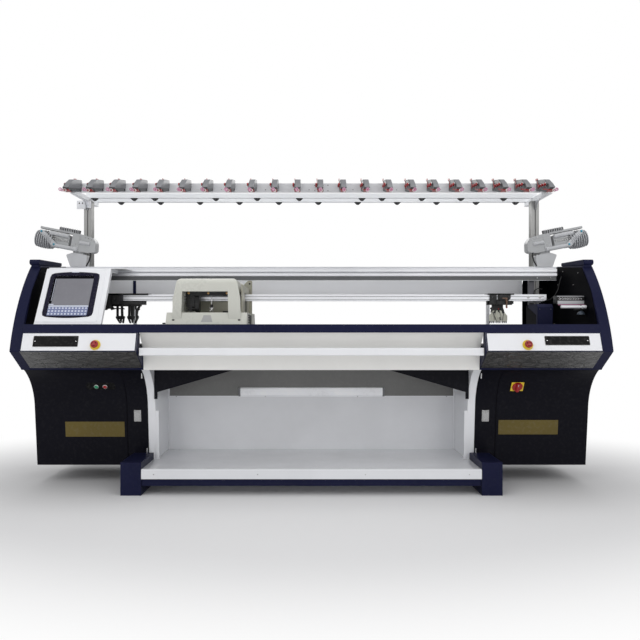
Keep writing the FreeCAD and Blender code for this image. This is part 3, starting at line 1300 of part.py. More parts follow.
def make_storage_feeders():
    """Yarn storage feeder on each end of the top beam, with its ribbed storage wheel."""
    beam_top = "top_beam_bottom + top_beam_height"
    stand_top = f"{beam_top} + feeder_stand_height"
    stand = [("feeder_x - feeder_stand_bottom / 2", beam_top), ("feeder_x + feeder_stand_bottom / 2", beam_top),
             ("feeder_x + feeder_stand_top / 2", stand_top), ("feeder_x - feeder_stand_top / 2", stand_top)]
    centre = "top_beam_front + top_beam_depth / 2"
    near, far = f"{centre} - feeder_stand_depth / 2", f"{centre} + feeder_stand_depth / 2"
    block = prism("FeederStand", "Y", near, far, stand)
    saddle = box("FeederSaddle", ("feeder_x - feeder_saddle / 2", "feeder_x + feeder_saddle / 2"),
                 (f"{centre} - feeder_stand_depth / 3", f"{centre} + feeder_stand_depth / 3"),
                 (stand_top, f"{stand_top} + feeder_axis_rise"))
    pivot = ("feeder_x", centre, f"{stand_top} + feeder_axis_rise")

    zero = "frame_depth / 2"
    inner, radius = "-feeder_body_inner", "feeder_body_radius"
    shoulder = "feeder_case_length"
    case = [(inner, f"-{radius} / 2"), (f"{inner} + 30", f"{radius} * 1.7"), (shoulder, f"{radius} * 1.95"),
            (shoulder, f"-{radius}"), (f"{inner} + 40", f"-{radius}")]
    pieces = [prism("FeederCase", "Y", f"{zero} - feeder_case_half", f"{zero} + feeder_case_half", case)]
    end = "feeder_body_length - feeder_body_inner"
    pieces.append(box("FeederCheek", (shoulder, end),
                      (f"{zero} - feeder_case_half + 6", f"{zero} + feeder_case_half - 6"),
                      (f"-{radius}", f"{radius} * 1.5")))
    pieces.append(box("FeederRoof", (shoulder, f"{end} + wheel_length * 0.8"),
                      (f"{zero} - feeder_case_half + 10", f"{zero} + feeder_case_half - 12"),
                      (f"{radius} * 1.65", f"{radius} * 1.65 + 6")))
    pieces.append(box("FeederNeck", (f"{shoulder}", f"{shoulder} + 12"),
                      (f"{zero} - feeder_case_half + 10", f"{zero} + feeder_case_half - 12"),
                      (f"{radius} * 1.4", f"{radius} * 1.7")))
    for name, low, high, up in (("Upper", f"{shoulder} - 4", end, f"{radius} * 1.2"),
                                ("Lower", "0", end, f"-{radius} * 0.7")):
        rod = even_corners(f"{zero} - feeder_case_half + 2", up, "feeder_rod_radius", 12)
        pieces.append(prism(f"FeederRod{name}", "X", low, high, rod))
    for index in range(GUARD_TEETH):
        start = f"feeder_guard_pitch * {index}"
        tooth = [(f"{zero} - feeder_case_half", f"{radius} * 1.8"),
                 (f"{zero} - feeder_case_half - 4", f"{radius} * 2.5"),
                 (f"{zero} - feeder_case_half + 6", f"{radius} * 2.6"),
                 (f"{zero} - feeder_case_half + 8", f"{radius} * 1.8")]
        pieces.append(prism(f"GuardTooth{index}", "X", start, f"{start} + feeder_tooth", tooth))
    roof_bar = box("GuardBar", ("0", f"feeder_guard_pitch * {GUARD_TEETH - 1} + feeder_tooth"),
                   (f"{zero} - feeder_case_half + 1", f"{zero} - feeder_case_half + 8"),
                   (f"{radius} * 1.6", f"{radius} * 2"))
    pieces.append(roof_bar)
    body = lean_out(group("FeederLeaning", fuse("FeederBody", *pieces)), pivot)
    feeder = fuse("Feeder", block, saddle, body)
    node("storage_feeder_right", feeder)
    node("storage_feeder_left", mirrored("FeederLeft", feeder))

    start = f"{end} + wheel_gap"
    core = prism("WheelCore", "X", start, f"{start} + wheel_length",
                 even_corners(zero, "0", "wheel_core_radius", 8))
    ribs = [core]
    for index in range(WHEEL_RIBS):
        low = f"{start} + wheel_rib + (wheel_length - 2 * wheel_rib) * {index} / {WHEEL_RIBS}"
        rim = even_corners(zero, "0", "wheel_radius", 14)
        ribs.append(prism(f"WheelRib{index}", "X", low, f"{low} + wheel_rib", rim))
    wheel = lean_out(group("WheelLeaning", fuse("Wheel", *ribs)), pivot)
    node("storage_wheel_right", wheel)
    node("storage_wheel_left", mirrored("WheelLeft", wheel))


def make_control_panel():
    """Control panel on the left console: case, lid, display bezel, screen and keypad."""
    foot_height = "nose_height + strip_rise + beam_height"
    low, high = "-panel_inner - panel_length", "-panel_inner"
    behind_face = [("panel_foot + panel_shell", foot_height),
                   ("panel_brow + panel_shell", "panel_top - panel_shell")]
    rear = "panel_brow + panel_roof"
    shell = prism("PanelShell", "X", low, high, [("panel_foot", foot_height), ("panel_brow", "panel_top"),
                                                 (rear, "panel_top"), (rear, "panel_top - panel_shell"),
                                                 *reversed(behind_face)])
    housing = prism("PanelHousing", "X", f"{low} + panel_shell", f"{high} - housing_inset", [
        *behind_face, (rear, "panel_top - panel_shell"), (rear, "panel_back_height"),
        ("panel_tail", foot_height)])
    lid = box("PanelLid", (f"{low} + lid_sheet", "-lid_inner"), ("lid_front", "lid_rear"),
              ("panel_top", "panel_top + lid_sheet"))
    plugs = [box(f"PanelPlug{index}", (f"{high} - housing_inset", f"{high} - housing_inset + plug_reach"),
                 (f"{rear} - plug_depth", rear), (f"panel_top - {drop}", f"panel_top - {drop} + {rise}"))
             for index, (drop, rise) in enumerate((("plug_drop", "plug_height"), ("socket_drop", "socket_height")))]
    node("control_panel_case", fuse("PanelCaseAndLid", shell, housing, lid, *plugs))
    run = size("panel_brow - panel_foot")
    rise = size(f"panel_top - ({foot_height})")
    lean = math.degrees(math.atan2(run, rise))
    foot = ("panel_foot", foot_height, lean)
    left = "-display_x - display_length"
    bezel = face_slab("Bezel", "bezel_sheet", [
        ("0", "display_corner"), ("display_corner", "0", -0.08), ("display_length - display_corner", "0"),
        ("display_length", "display_corner"), ("display_length", "display_height - display_corner"),
        ("display_length - display_corner", "display_height", -0.08), ("display_corner", "display_height"),
        ("0", "display_height - display_corner")])
    node("display_bezel", on_face(bezel, left, *foot, ("0", "0", "display_along")))
    screen = face_box("Screen", "screen_length", "screen_sheet", "screen_height")
    on_face(screen, f"{left} + (display_length - screen_length) / 2", *foot,
            ("0", "-bezel_sheet - screen_sheet", "screen_along"))
    keypad = face_box("Keypad", "keypad_length", "screen_sheet", "keypad_height")
    on_face(keypad, f"{left} + (display_length - keypad_length) / 2", *foot,
            ("0", "-bezel_sheet - screen_sheet", "keypad_along"))
    keys = []
    for row in range(KEY_ROWS):
        key = face_box(f"KeyRow{row}", "keypad_length - key_size", "screen_sheet", "key_size")
        up = f"keypad_along + keypad_height * ({row} + 0.5) / {KEY_ROWS} - key_size / 2"
        keys.append(on_face(key, f"{left} + (display_length - keypad_length + key_size) / 2", *foot,
                            ("0", "-bezel_sheet - 2 * screen_sheet", up)))
    node("screen_and_keypad", group("ScreenAndKeypad", screen, fuse("KeypadAndKeys", keypad, *keys)))


def make_emergency_stops():
    """Mushroom button for each strip panel; returns the round collar that guides the right one."""
    lean = math.degrees(math.atan2(size("strip_run"), size("strip_rise")))
    depth = "(stop_height - nose_height) * strip_run / strip_rise"
    foot = ("stop_x", depth, "stop_height", lean)
    collar = on_face(face_ring("StopCollar", "stop_base_rise", "stop_base_radius", "stop_stem_radius + shoe_gap"),
                     *foot)
    stem = face_ring("StopStem", "stop_base_rise", "stop_stem_radius", "stop_stem_radius / 2")
    cap = face_stub("StopCap", "stop_cap_radius", "stop_cap_thick")
    on_face(stem, *foot, ("0", "-stop_travel", "0"))
    on_face(cap, *foot, ("0", "-stop_base_rise - stop_travel - stop_cap_thick", "0"), "Y")
    button = fuse("StopButton", stem, cap)
    node("stop_button_right", button)
    node("stop_button_left", mirrored("StopButtonLeft", button))
    return collar


def make_drive():
    """Toothed belt drive of the carriage behind the rear rail: motor, pulleys and belt."""
    width = "pulley_width"
    radius = "pulley_radius"
    axle = "drive_height"
    for side, sign in (("right", ""), ("left", "-")):
        pulley = cylinder(f"Pulley_{side}", "Y", radius, width, f"{sign}drive_x", "drive_depth", axle)
        shaft = cylinder(f"Shaft_{side}", "Y", "journal_radius", "pulley_width + 12", f"{sign}drive_x",
                         "drive_depth", axle)
        node(f"belt_pulley_{side}", fuse(f"BeltPulley_{side}", pulley, shaft))
    outer = f"{radius} + belt_thick + running_gap"
    inner = f"{radius} + running_gap"

    def loop(reach):
        """Outline of a belt run round both pulleys at a distance from their axes."""
        return [("-drive_x", f"{axle} - ({reach})"), ("drive_x", f"{axle} - ({reach})", -1),
                ("drive_x", f"{axle} + {reach}"), ("-drive_x", f"{axle} + {reach}", -1)]

    belt = prism("Belt", "Y", "drive_depth", f"drive_depth + {width}", loop(outer), loop(inner))
    node("drive_belt", belt)
    start = f"drive_depth + {width} + 2"
    motor = cylinder("MotorCase", "Y", "motor_radius", "motor_length", "drive_x", start, axle)
    bore = cylinder("MotorBore", "Y", around("journal_radius + running_gap"), "idler_length",
                    "drive_x", start, axle)
    block = box("MotorFoot", ("drive_x - motor_radius", "drive_x + motor_radius"),
                (start, f"{start} + motor_length"),
                ("deck_top", axle))
    case = cut("Motor", fuse("MotorBody", motor, block), bore)
    idler = box("IdlerBlock", ("drive_x - motor_radius / 2", "drive_x + motor_radius / 2"),
                (start, f"{start} + idler_length"), ("deck_top", f"{axle} + 25"))
    idler_bore = cylinder("IdlerBore", "Y", around("journal_radius + running_gap"), "idler_length",
                          "drive_x", start,
                          axle)
    node("drive_motor", group("DriveMounts", case, mirrored("Idler", cut("IdlerCut", idler, idler_bore))))


def check_and_write():
    """Stop if any object failed, then write one STEP file for each sub-part."""
    DOC.recompute()
    for obj in DOC.Objects:
        if "Invalid" in obj.State or "Error" in obj.State:
            raise RuntimeError(f"{obj.Label} did not build: {obj.State}")
    for part in NODES:
        if part.Shape.isNull() or not part.Shape.isValid():
            raise RuntimeError(f"{part.Label} has no valid shape")
    os.makedirs("parts", exist_ok=True)
    for part in NODES:
        part.Shape.exportStep(os.path.join("parts", part.Label + ".step"))


fill_sheet()
make_feet()
make_fabric_bay()
make_cabinets()
make_service_doors()
make_consoles()
make_front()
make_beds()
make_carriage()
make_top_beam()
make_yarn_carriers()
make_rear_panel()
make_yarn_frame()
make_tension_units()
make_storage_feeders()
make_control_panel()
make_drive()
check_and_write()
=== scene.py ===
"""Studio scene of a flat knitting machine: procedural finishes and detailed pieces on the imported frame."""
import logging
import math
from dataclasses import dataclass
from enum import Enum
from typing import Iterable, Optional, Sequence, Union

import bmesh
import bpy
from mathutils import Matrix, Vector


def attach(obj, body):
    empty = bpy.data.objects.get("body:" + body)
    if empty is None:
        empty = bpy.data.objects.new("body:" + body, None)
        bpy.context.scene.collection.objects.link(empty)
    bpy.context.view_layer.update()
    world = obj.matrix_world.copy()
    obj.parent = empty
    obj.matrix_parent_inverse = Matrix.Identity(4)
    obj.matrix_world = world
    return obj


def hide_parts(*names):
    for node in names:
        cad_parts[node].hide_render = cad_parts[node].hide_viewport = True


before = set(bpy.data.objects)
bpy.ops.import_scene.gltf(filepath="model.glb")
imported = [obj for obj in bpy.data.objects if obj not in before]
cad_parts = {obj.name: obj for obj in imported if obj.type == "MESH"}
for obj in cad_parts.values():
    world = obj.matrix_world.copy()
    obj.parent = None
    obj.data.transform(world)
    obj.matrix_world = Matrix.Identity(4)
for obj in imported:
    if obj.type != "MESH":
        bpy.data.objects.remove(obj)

LOG = logging.getLogger("flat_knitting_machine")
MM = 0.001
# how far the frame's origin is behind the nose of the consoles
NOSE_TO_ORIGIN = 450.0
# how far the gap between the needle beds is behind the nose of the consoles
BED_GAP = 430.0
ENDS = (("left", -1), ("right", 1))
# how an outline of (u, v) corners is laid square to an axis, at a place a along it
LAY = {"x": lambda a, u, v: (a, u, v), "y": lambda a, u, v: (u, a, v), "z": lambda a, u, v: (u, v, a)}
PURE_WHITE = (1.0, 1.0, 1.0)
# how fine the clouds and specks of a finish are, what specks of dust and tarnish turn it to, and how deep
# a bump pattern goes, in metres
CLOUD_SCALE = 3.5
SPECK_SCALE = 60.0
DUST = (0.5, 0.49, 0.47)
TARNISH = (0.2, 0.19, 0.18)
GRAIN_DEPTH = 0.0006
FOLD_DEPTH = 0.006

Colour = tuple[float, float, float]
Point = tuple[float, float, float]
Outline = Sequence[tuple[float, float]]


# ---- node trees and finishes

Term = Union["Value", float]


class Value:
    """A number in a node tree; arithmetic on it adds Math nodes."""

    def __init__(self, graph: "Graph", socket: bpy.types.NodeSocket) -> None:
        """Wrap a socket.

        Args:
            graph: The tree that the socket is in.
            socket: An output socket.
        """
        self.graph = graph
        self.socket = socket

    def _math(self, operation: str, *terms: Term) -> "Value":
        """Add a Math node on the terms and return its result."""
        return self.graph.put("ShaderNodeMath", {"operation": operation}, dict(enumerate(terms)))

    def __add__(self, other: Term) -> "Value":
        """Sum."""
        return self._math("ADD", self, other)

    def __sub__(self, other: Term) -> "Value":
        """Difference."""
        return self._math("SUBTRACT", self, other)

    def __rsub__(self, other: float) -> "Value":
        """Difference from a number."""
        return self._math("SUBTRACT", other, self)

    def __mul__(self, other: Term) -> "Value":
        """Product."""
        return self._math("MULTIPLY", self, other)

    __radd__ = __add__
    __rmul__ = __mul__

    def ramp(self, low: float, high: float) -> "Value":
        """Return 0 below low, 1 above high and a smooth step between them."""
        inputs = {0: self, 1: low, 2: high, 3: 0.0, 4: 1.0}
        return self.graph.put("ShaderNodeMapRange", {"interpolation_type": "SMOOTHSTEP"}, inputs)


class Graph:
    """The node tree of one material or world, with one method that adds any node."""

    def __init__(self, owner: Union[bpy.types.Material, bpy.types.World]) -> None:
        """Give the owner an empty tree and keep it."""
        owner.use_nodes = True
        self.tree = owner.node_tree
        self.tree.nodes.clear()

    def put(self, kind: str, settings: Optional[dict] = None, inputs: Optional[dict] = None,
            output: Union[int, str] = 0) -> Value:
        """Add a node.

        Args:
            kind: The node's type.
            settings: Its properties, set first.
            inputs: Values or links of its input sockets, by name or number.
            output: The output socket to return.

        Returns:
            The wrapped output socket.
        """
        node = self.tree.nodes.new(kind)
        for key, setting in (settings or {}).items():
            setattr(node, key, setting)
        for key, content in (inputs or {}).items():
            if isinstance(content, Value):
                self.tree.links.new(content.socket, node.inputs[key])
            elif isinstance(content, tuple) and len(content) < len(node.inputs[key].default_value):
                node.inputs[key].default_value = (*content, 1.0)
            else:
                node.inputs[key].default_value = content
        return Value(self, node.outputs[output]) if len(node.outputs) else Value(self, None)

    def place(self) -> Value:
        """Return the object's own coordinates, in metres."""
        return self.put("ShaderNodeTexCoord", output="Object")

    def axis(self, vector: Value, name: str) -> Value:
        """Return one coordinate, X, Y or Z, of a vector."""
        return self.put("ShaderNodeSeparateXYZ", None, {0: vector}, name)

    def stretch(self, vector: Value, scale: Point) -> Value:
        """Return a vector whose coordinates are scaled one by one."""
        return self.put("ShaderNodeVectorMath", {"operation": "MULTIPLY"}, {0: vector, 1: scale})

    def noise(self, vector: Value, scale: float, detail: float = 3.0, distortion: float = 0.0) -> Value:
        """Return fractal noise from 0 to 1."""
        inputs = {"Vector": vector, "Scale": scale, "Detail": detail, "Distortion": distortion}
        return self.put("ShaderNodeTexNoise", None, inputs)

    def cells(self, vector: Value, scale: float, feature: str = "F1") -> Value:
        """Return the distance to the nearest cell point or cell edge."""
        return self.put("ShaderNodeTexVoronoi", {"feature": feature}, {"Vector": vector, "Scale": scale})

    def mix(self, factor: Union[Value, float], first: Union[Value, Colour],
            second: Union[Value, Colour]) -> Value:
        """Return the first colour turning into the second as the factor goes from 0 to 1."""
        return self.put("ShaderNodeMix", {"data_type": "RGBA"}, {0: factor, 6: first, 7: second}, 2)


class Texture(Enum):
    """How a surface feels, which sets the pattern of its bump."""

    SMOOTH = "smooth"
    PEEL = "orange peel of sprayed paint"
    GRAINED = "fine moulded grain"
    DRAWN = "drawing lines along the length"
    WRINKLED = "stretched wrinkled film"
    RIBBED = "fine ribs across the length"


def shade(colour: Colour, factor: float) -> Colour:
    """Return a colour made lighter or darker."""
    return tuple(min(1.0, part * factor) for part in colour)


@dataclass(frozen=True)
class Finish:
    """One finish of the machine: its colour and how that varies, its gloss, and its feel."""

    name: str
    colour: Colour
    rough: float
    metal: float = 0.0
    coat: float = 0.0
    specular: float = 0.5
    cloud: float = 0.08
    dust: float = 0.05
    texture: Texture = Texture.SMOOTH
    grain: float = 900.0
    bump: float = 0.1
    glow: float = 0.0
    lengthwise: str = "X"

    def _relief(self, graph: Graph, place: Value) -> Optional[Value]:
        """Return the height pattern of the finish, from 0 to 1."""
        if self.texture is Texture.PEEL:
            return graph.noise(place, self.grain, 2.0)
        if self.texture is Texture.GRAINED:
            return graph.cells(place, self.grain) * 0.6 + graph.noise(place, self.grain * 0.35, 4.0) * 0.4
        if self.texture is Texture.DRAWN:
            scale = tuple(0.003 if axis == self.lengthwise else 1.0 for axis in "XYZ")
            return graph.noise(graph.stretch(place, scale), self.grain, 4.0)
        if self.texture is Texture.RIBBED:
            bands = {"wave_type": "BANDS", "bands_direction": self.lengthwise}
            return graph.put("ShaderNodeTexWave", bands, {"Vector": place, "Scale": self.grain})
        if self.texture is Texture.WRINKLED:
            long = graph.stretch(place, (1.0, 3.2, 3.2))
            folds = graph.noise(long, 9.0, 5.0, 2.6)
            creases = graph.cells(graph.stretch(place, (1.0, 2.2, 2.2)), 14.0, "DISTANCE_TO_EDGE")
            return folds * 0.7 + creases.ramp(0.0, 0.12) * 0.3
        return None

    def material(self) -> bpy.types.Material:
        """Return the finish's material, built the first time that it is asked for."""
        name = f"{self.name}_finish"
        found = bpy.data.materials.get(name)
        if found:
            return found
        material = bpy.data.materials.new(name)
        graph = Graph(material)
        place = graph.place()
        broad = graph.noise(place, CLOUD_SCALE, 4.0).ramp(0.3, 0.7)
        fine = graph.noise(place, SPECK_SCALE, 5.0).ramp(0.45, 0.8)
        colour = graph.mix(broad, shade(self.colour, 1.0 - self.cloud),
                           shade(self.colour, 1.0 + self.cloud))
        dust_and_sheen = graph.mix(fine * self.dust, colour, DUST if self.metal < 0.5 else TARNISH)
        relief = self._relief(graph, place)
        wrinkled = self.texture is Texture.WRINKLED
        if wrinkled:
            # painted highlights: the crests of the wrinkles are painted lighter, for the sheen that the film
            # catches there
            dust_and_sheen = graph.mix(relief.ramp(0.52, 0.72) * 0.55, dust_and_sheen, shade(self.colour, 4.0))
        inputs = {"Base Color": dust_and_sheen, "Roughness": fine * 0.06 + broad * 0.05 + (self.rough - 0.04),
                  "Metallic": self.metal, "Coat Weight": self.coat, "Coat Roughness": 0.12,
                  "Specular IOR Level": self.specular}
        if relief:
            depth = FOLD_DEPTH if wrinkled else GRAIN_DEPTH
            bump = {"Strength": self.bump, "Distance": depth, "Height": relief}
            inputs["Normal"] = graph.put("ShaderNodeBump", None, bump)
        if self.glow:
            inputs["Emission Color"] = dust_and_sheen
            inputs["Emission Strength"] = self.glow
        shader = graph.put("ShaderNodeBsdfPrincipled", None, inputs)
        graph.put("ShaderNodeOutputMaterial", None, {"Surface": shader})
        return material


# settings that several finishes share
MOULDED = {"texture": Texture.GRAINED, "grain": 500.0, "bump": 0.05}
GROUND = {"texture": Texture.DRAWN, "grain": 300.0, "bump": 0.06}
EXTRUDED = {"texture": Texture.DRAWN, "grain": 260.0, "bump": 0.04}


class Finishes(Enum):
    """Every finish on the machine."""

    NAVY = Finish("navy_paint", (0.0088, 0.0105, 0.038), 0.4, specular=0.1, texture=Texture.PEEL, dust=0.01,
                  grain=420.0, bump=0.05)
    DARK_NAVY = Finish("dark_navy_paint", (0.0036, 0.0036, 0.0075), 0.42, specular=0.1,
                       texture=Texture.PEEL, dust=0.012, grain=420.0, bump=0.05)
    # matt black of the insides, also used as painted shade: the bezel's opening round the screen, the
    # console linings and the top beam's groove
    BLACK_AND_SHADE = Finish("black_paint_and_shade", (0.0016, 0.0016, 0.0034), 0.5, specular=0.05,
                          texture=Texture.PEEL, dust=0.006, grain=420.0)
    WHITE = Finish("white_paint", (0.84, 0.85, 0.88), 0.32, coat=0.2, cloud=0.02, dust=0.02,
                   texture=Texture.PEEL, grain=420.0, bump=0.04)
    GLOSS_WHITE = Finish("gloss_white_panel", (0.78, 0.79, 0.82), 0.2, coat=0.35, cloud=0.03, dust=0.02,
                         texture=Texture.PEEL, grain=60.0, bump=0.25)
    CREAM = Finish("cream_sheet_paint", (0.82, 0.815, 0.79), 0.35, coat=0.2, cloud=0.02, dust=0.03,
                   texture=Texture.PEEL)
    BOW_CREAM = Finish("cream_moulding", (0.62, 0.625, 0.57), 0.3, coat=0.3, cloud=0.02, dust=0.03,
                       texture=Texture.GRAINED, bump=0.05)
    # grey paint of the bed support, also painted shade on the bay's upper panel
    GREY = Finish("grey_paint", (0.17, 0.17, 0.165), 0.45, texture=Texture.PEEL)
    # plated steel, also painted shade on the carriage's plate at depth 600
    GREENISH = Finish("plated_steel_and_shade", (0.42, 0.41, 0.33), 0.4, metal=0.6, texture=Texture.DRAWN, dust=0.2)
    ALUMINIUM = Finish("drawn_aluminium", (0.8, 0.81, 0.84), 0.4, metal=0.9, cloud=0.04, dust=0.03,
                       **EXTRUDED)
    POST_METAL = Finish("post_aluminium", (0.32, 0.32, 0.315), 0.36, metal=0.9, cloud=0.05, dust=0.03,
                        lengthwise="Z", **EXTRUDED)
    STEEL = Finish("ground_steel", (0.48, 0.48, 0.48), 0.28, metal=1.0, **GROUND)
    LEAF_STEEL = Finish("worn_leaf_steel", (0.36, 0.36, 0.31), 0.35, metal=0.6, cloud=0.5, lengthwise="Z",
                        **GROUND)
    DARK_STEEL = Finish("blued_steel", (0.09, 0.09, 0.1), 0.35, metal=1.0, **GROUND)
    PALE_METAL = Finish("pale_anodised", (0.93, 0.95, 0.98), 0.45, cloud=0.03, dust=0.03,
                        texture=Texture.DRAWN, grain=260.0, bump=0.03)
    CHROME = Finish("polished_chrome", (0.82, 0.82, 0.83), 0.1, metal=1.0, cloud=0.02, dust=0.02)
    BRASS = Finish("brass", (0.72, 0.42, 0.16), 0.3, metal=1.0)
    BROWN = Finish("brown_lever_plastic", (0.16, 0.085, 0.05), 0.4, texture=Texture.GRAINED)
    BLACK = Finish("black_plastic", (0.012, 0.012, 0.013), 0.42, specular=0.35, texture=Texture.GRAINED)
    RUBBER = Finish("black_rubber", (0.015, 0.015, 0.016), 0.75, texture=Texture.GRAINED, bump=0.3)
    # grey moulded plastic, also painted groove shade on the carrier rails
    COVER_GREY = Finish("grey_moulded_plastic_and_shade", (0.17, 0.175, 0.19), 0.36, **MOULDED)
    # dark grey of the tension units' side plates, also painted shade on the top beam's lower band
    PLATE_GREY = Finish("dark_grey_plate_and_shade", (0.1, 0.105, 0.11), 0.4, **MOULDED)
    FEEDER_GREY = Finish("feeder_grey_plastic", (0.4, 0.41, 0.42), 0.34, coat=0.05, **MOULDED)
    LIGHT_GREY = Finish("light_grey_plastic", (0.5, 0.51, 0.53), 0.4, **MOULDED)
    RED = Finish("red_plastic", (0.34, 0.008, 0.01), 0.3, coat=0.12, texture=Texture.GRAINED, bump=0.04)
    PINK = Finish("ceramic_pink_ring", (0.6, 0.28, 0.42), 0.2, coat=0.6)
    CERAMIC = Finish("white_ceramic", (0.75, 0.72, 0.7), 0.15, coat=0.6)
    GREEN = Finish("green_plastic", (0.006, 0.2, 0.09), 0.3, coat=0.3, glow=0.15)
    YELLOW = Finish("yellow_plate", (0.8, 0.56, 0.03), 0.35, texture=Texture.GRAINED, bump=0.04)
    GOLD_PLATE = Finish("gold_plate", (0.13, 0.096, 0.019), 0.42, metal=0.4, texture=Texture.DRAWN,
                        bump=0.1)
    BLACK_PLATE = Finish("black_gloss_plate", (0.0016, 0.0016, 0.002), 0.3, specular=0.12)
    # skirt film, whose wrinkle crests carry painted highlights
    FILM = Finish("dark_film_skirt", (0.022, 0.0215, 0.021), 0.22, coat=0.7, cloud=0.25, dust=0.0,
                  texture=Texture.WRINKLED, bump=0.9)
    LIGHT_TUBE = Finish("light_diffuser", (0.86, 0.87, 0.9), 0.3, glow=0.12, texture=Texture.RIBBED,
                        grain=60.0, bump=0.1)
    SCREEN = Finish("screen_glass", (0.19, 0.19, 0.215), 0.2, coat=0.4, cloud=0.06, dust=0.04)
    BEZEL_NAVY = Finish("navy_bezel_moulding", (0.008, 0.007, 0.021), 0.34, coat=0.02, specular=0.12,
                        texture=Texture.GRAINED, grain=500.0, bump=0.04)
    KEY_BLUE = Finish("pale_blue_key", (0.18, 0.21, 0.37), 0.35, coat=0.1, texture=Texture.GRAINED,
                      bump=0.03)
    KEY_WHITE = Finish("white_key", (0.6, 0.64, 0.74), 0.3, coat=0.1)
    LAMP_BLUE = Finish("blue_grey_lamp_shade", (0.07, 0.09, 0.12), 0.3, metal=0.3)
    SCREW_BLUE = Finish("blue_screw", (0.05, 0.3, 0.42), 0.25, metal=0.7)
    DECAL_GREY = Finish("grey_decal", (0.4, 0.4, 0.4), 0.4)

    def material(self) -> bpy.types.Material:
        """Return the material of this finish."""
        return self.value.material()


# ---- mesh building, in millimetres

def rounded(corners: Outline, radius: float, steps: int = 4, only: Optional[set[int]] = None) -> list:
    """Round the corners of a closed outline.

    Args:
        corners: The outline's corners.
        radius: How far each arc reaches along the sides.
        steps: Segments in each arc.
        only: The numbers of the corners to round, or None for all.

    Returns:
        The rounded outline.
    """
    points = []
    count = len(corners)
    for index, corner in enumerate(corners):
        here = Vector(corner)
        if only is not None and index not in only:
            points.append(tuple(here))
            continue
        before = Vector(corners[index - 1]) - here
        after = Vector(corners[(index + 1) % count]) - here
        reach = min(radius, before.length * 0.45, after.length * 0.45)
        start = here + before.normalized() * reach
        end = here + after.normalized() * reach
        for step in range(steps + 1):
            t = step / steps
            points.append(tuple(start * (1 - t) ** 2 + here * 2 * t * (1 - t) + end * t ** 2))
    return points


def polar(radius: float, angle: float) -> tuple[float, float]:
    """Return the point at a radius and an angle from the origin."""
    return radius * math.cos(angle), radius * math.sin(angle)


def circle(radius: float, steps: int = 20) -> list:
    """Return the corners of a regular outline near a circle."""
    return [polar(radius, math.tau * k / steps) for k in range(steps)]


def rect(left: float, right: float, low: float, high: float) -> list:
    """Return the four corners of a rectangle."""
    return [(left, low), (right, low), (right, high), (left, high)]


def span(sign: int, first: float, second: float) -> tuple[float, float]:
    """Return a range across the machine, lowest end first, on the side that the sign gives."""
    return tuple(sorted((sign * first, sign * second)))


def oblong(length: float, width: float, steps: int = 8) -> list:
    """Return an outline with straight sides and round ends, about the origin."""
    half = (length - width) / 2
    ends = []
    for sign in (1, -1):
        for step in range(steps + 1):
            turn = math.pi * (step / steps - 0.5)
            ends.append((sign * (half + math.cos(turn) * width / 2), sign * math.sin(turn) * width / 2))
    return ends


def lean_frame(x: float, depth: float, height: float, degrees: float) -> Matrix:
    """Return the frame of a face that leans back: x across, y into the machine, z up along the face."""
    return Matrix.Translation((x, depth, height)) @ Matrix.Rotation(-math.radians(degrees), 4, "X")


def in_scene(name: str, data: bpy.types.ID) -> bpy.types.Object:
    """Return a new object of a mesh, a light or a camera, linked to the scene."""
    made = bpy.data.objects.new(name, data)
    bpy.context.scene.collection.objects.link(made)
    return made


def round_edges(made: bpy.types.Object, width: float, segments: int, degrees: float) -> None:
    """Round the edges of an object that turn by more than an angle."""
    rim = made.modifiers.new("rim", "BEVEL")
    rim.width = width * MM
    rim.segments = segments
    rim.angle_limit = math.radians(degrees)
    rim.harden_normals = True


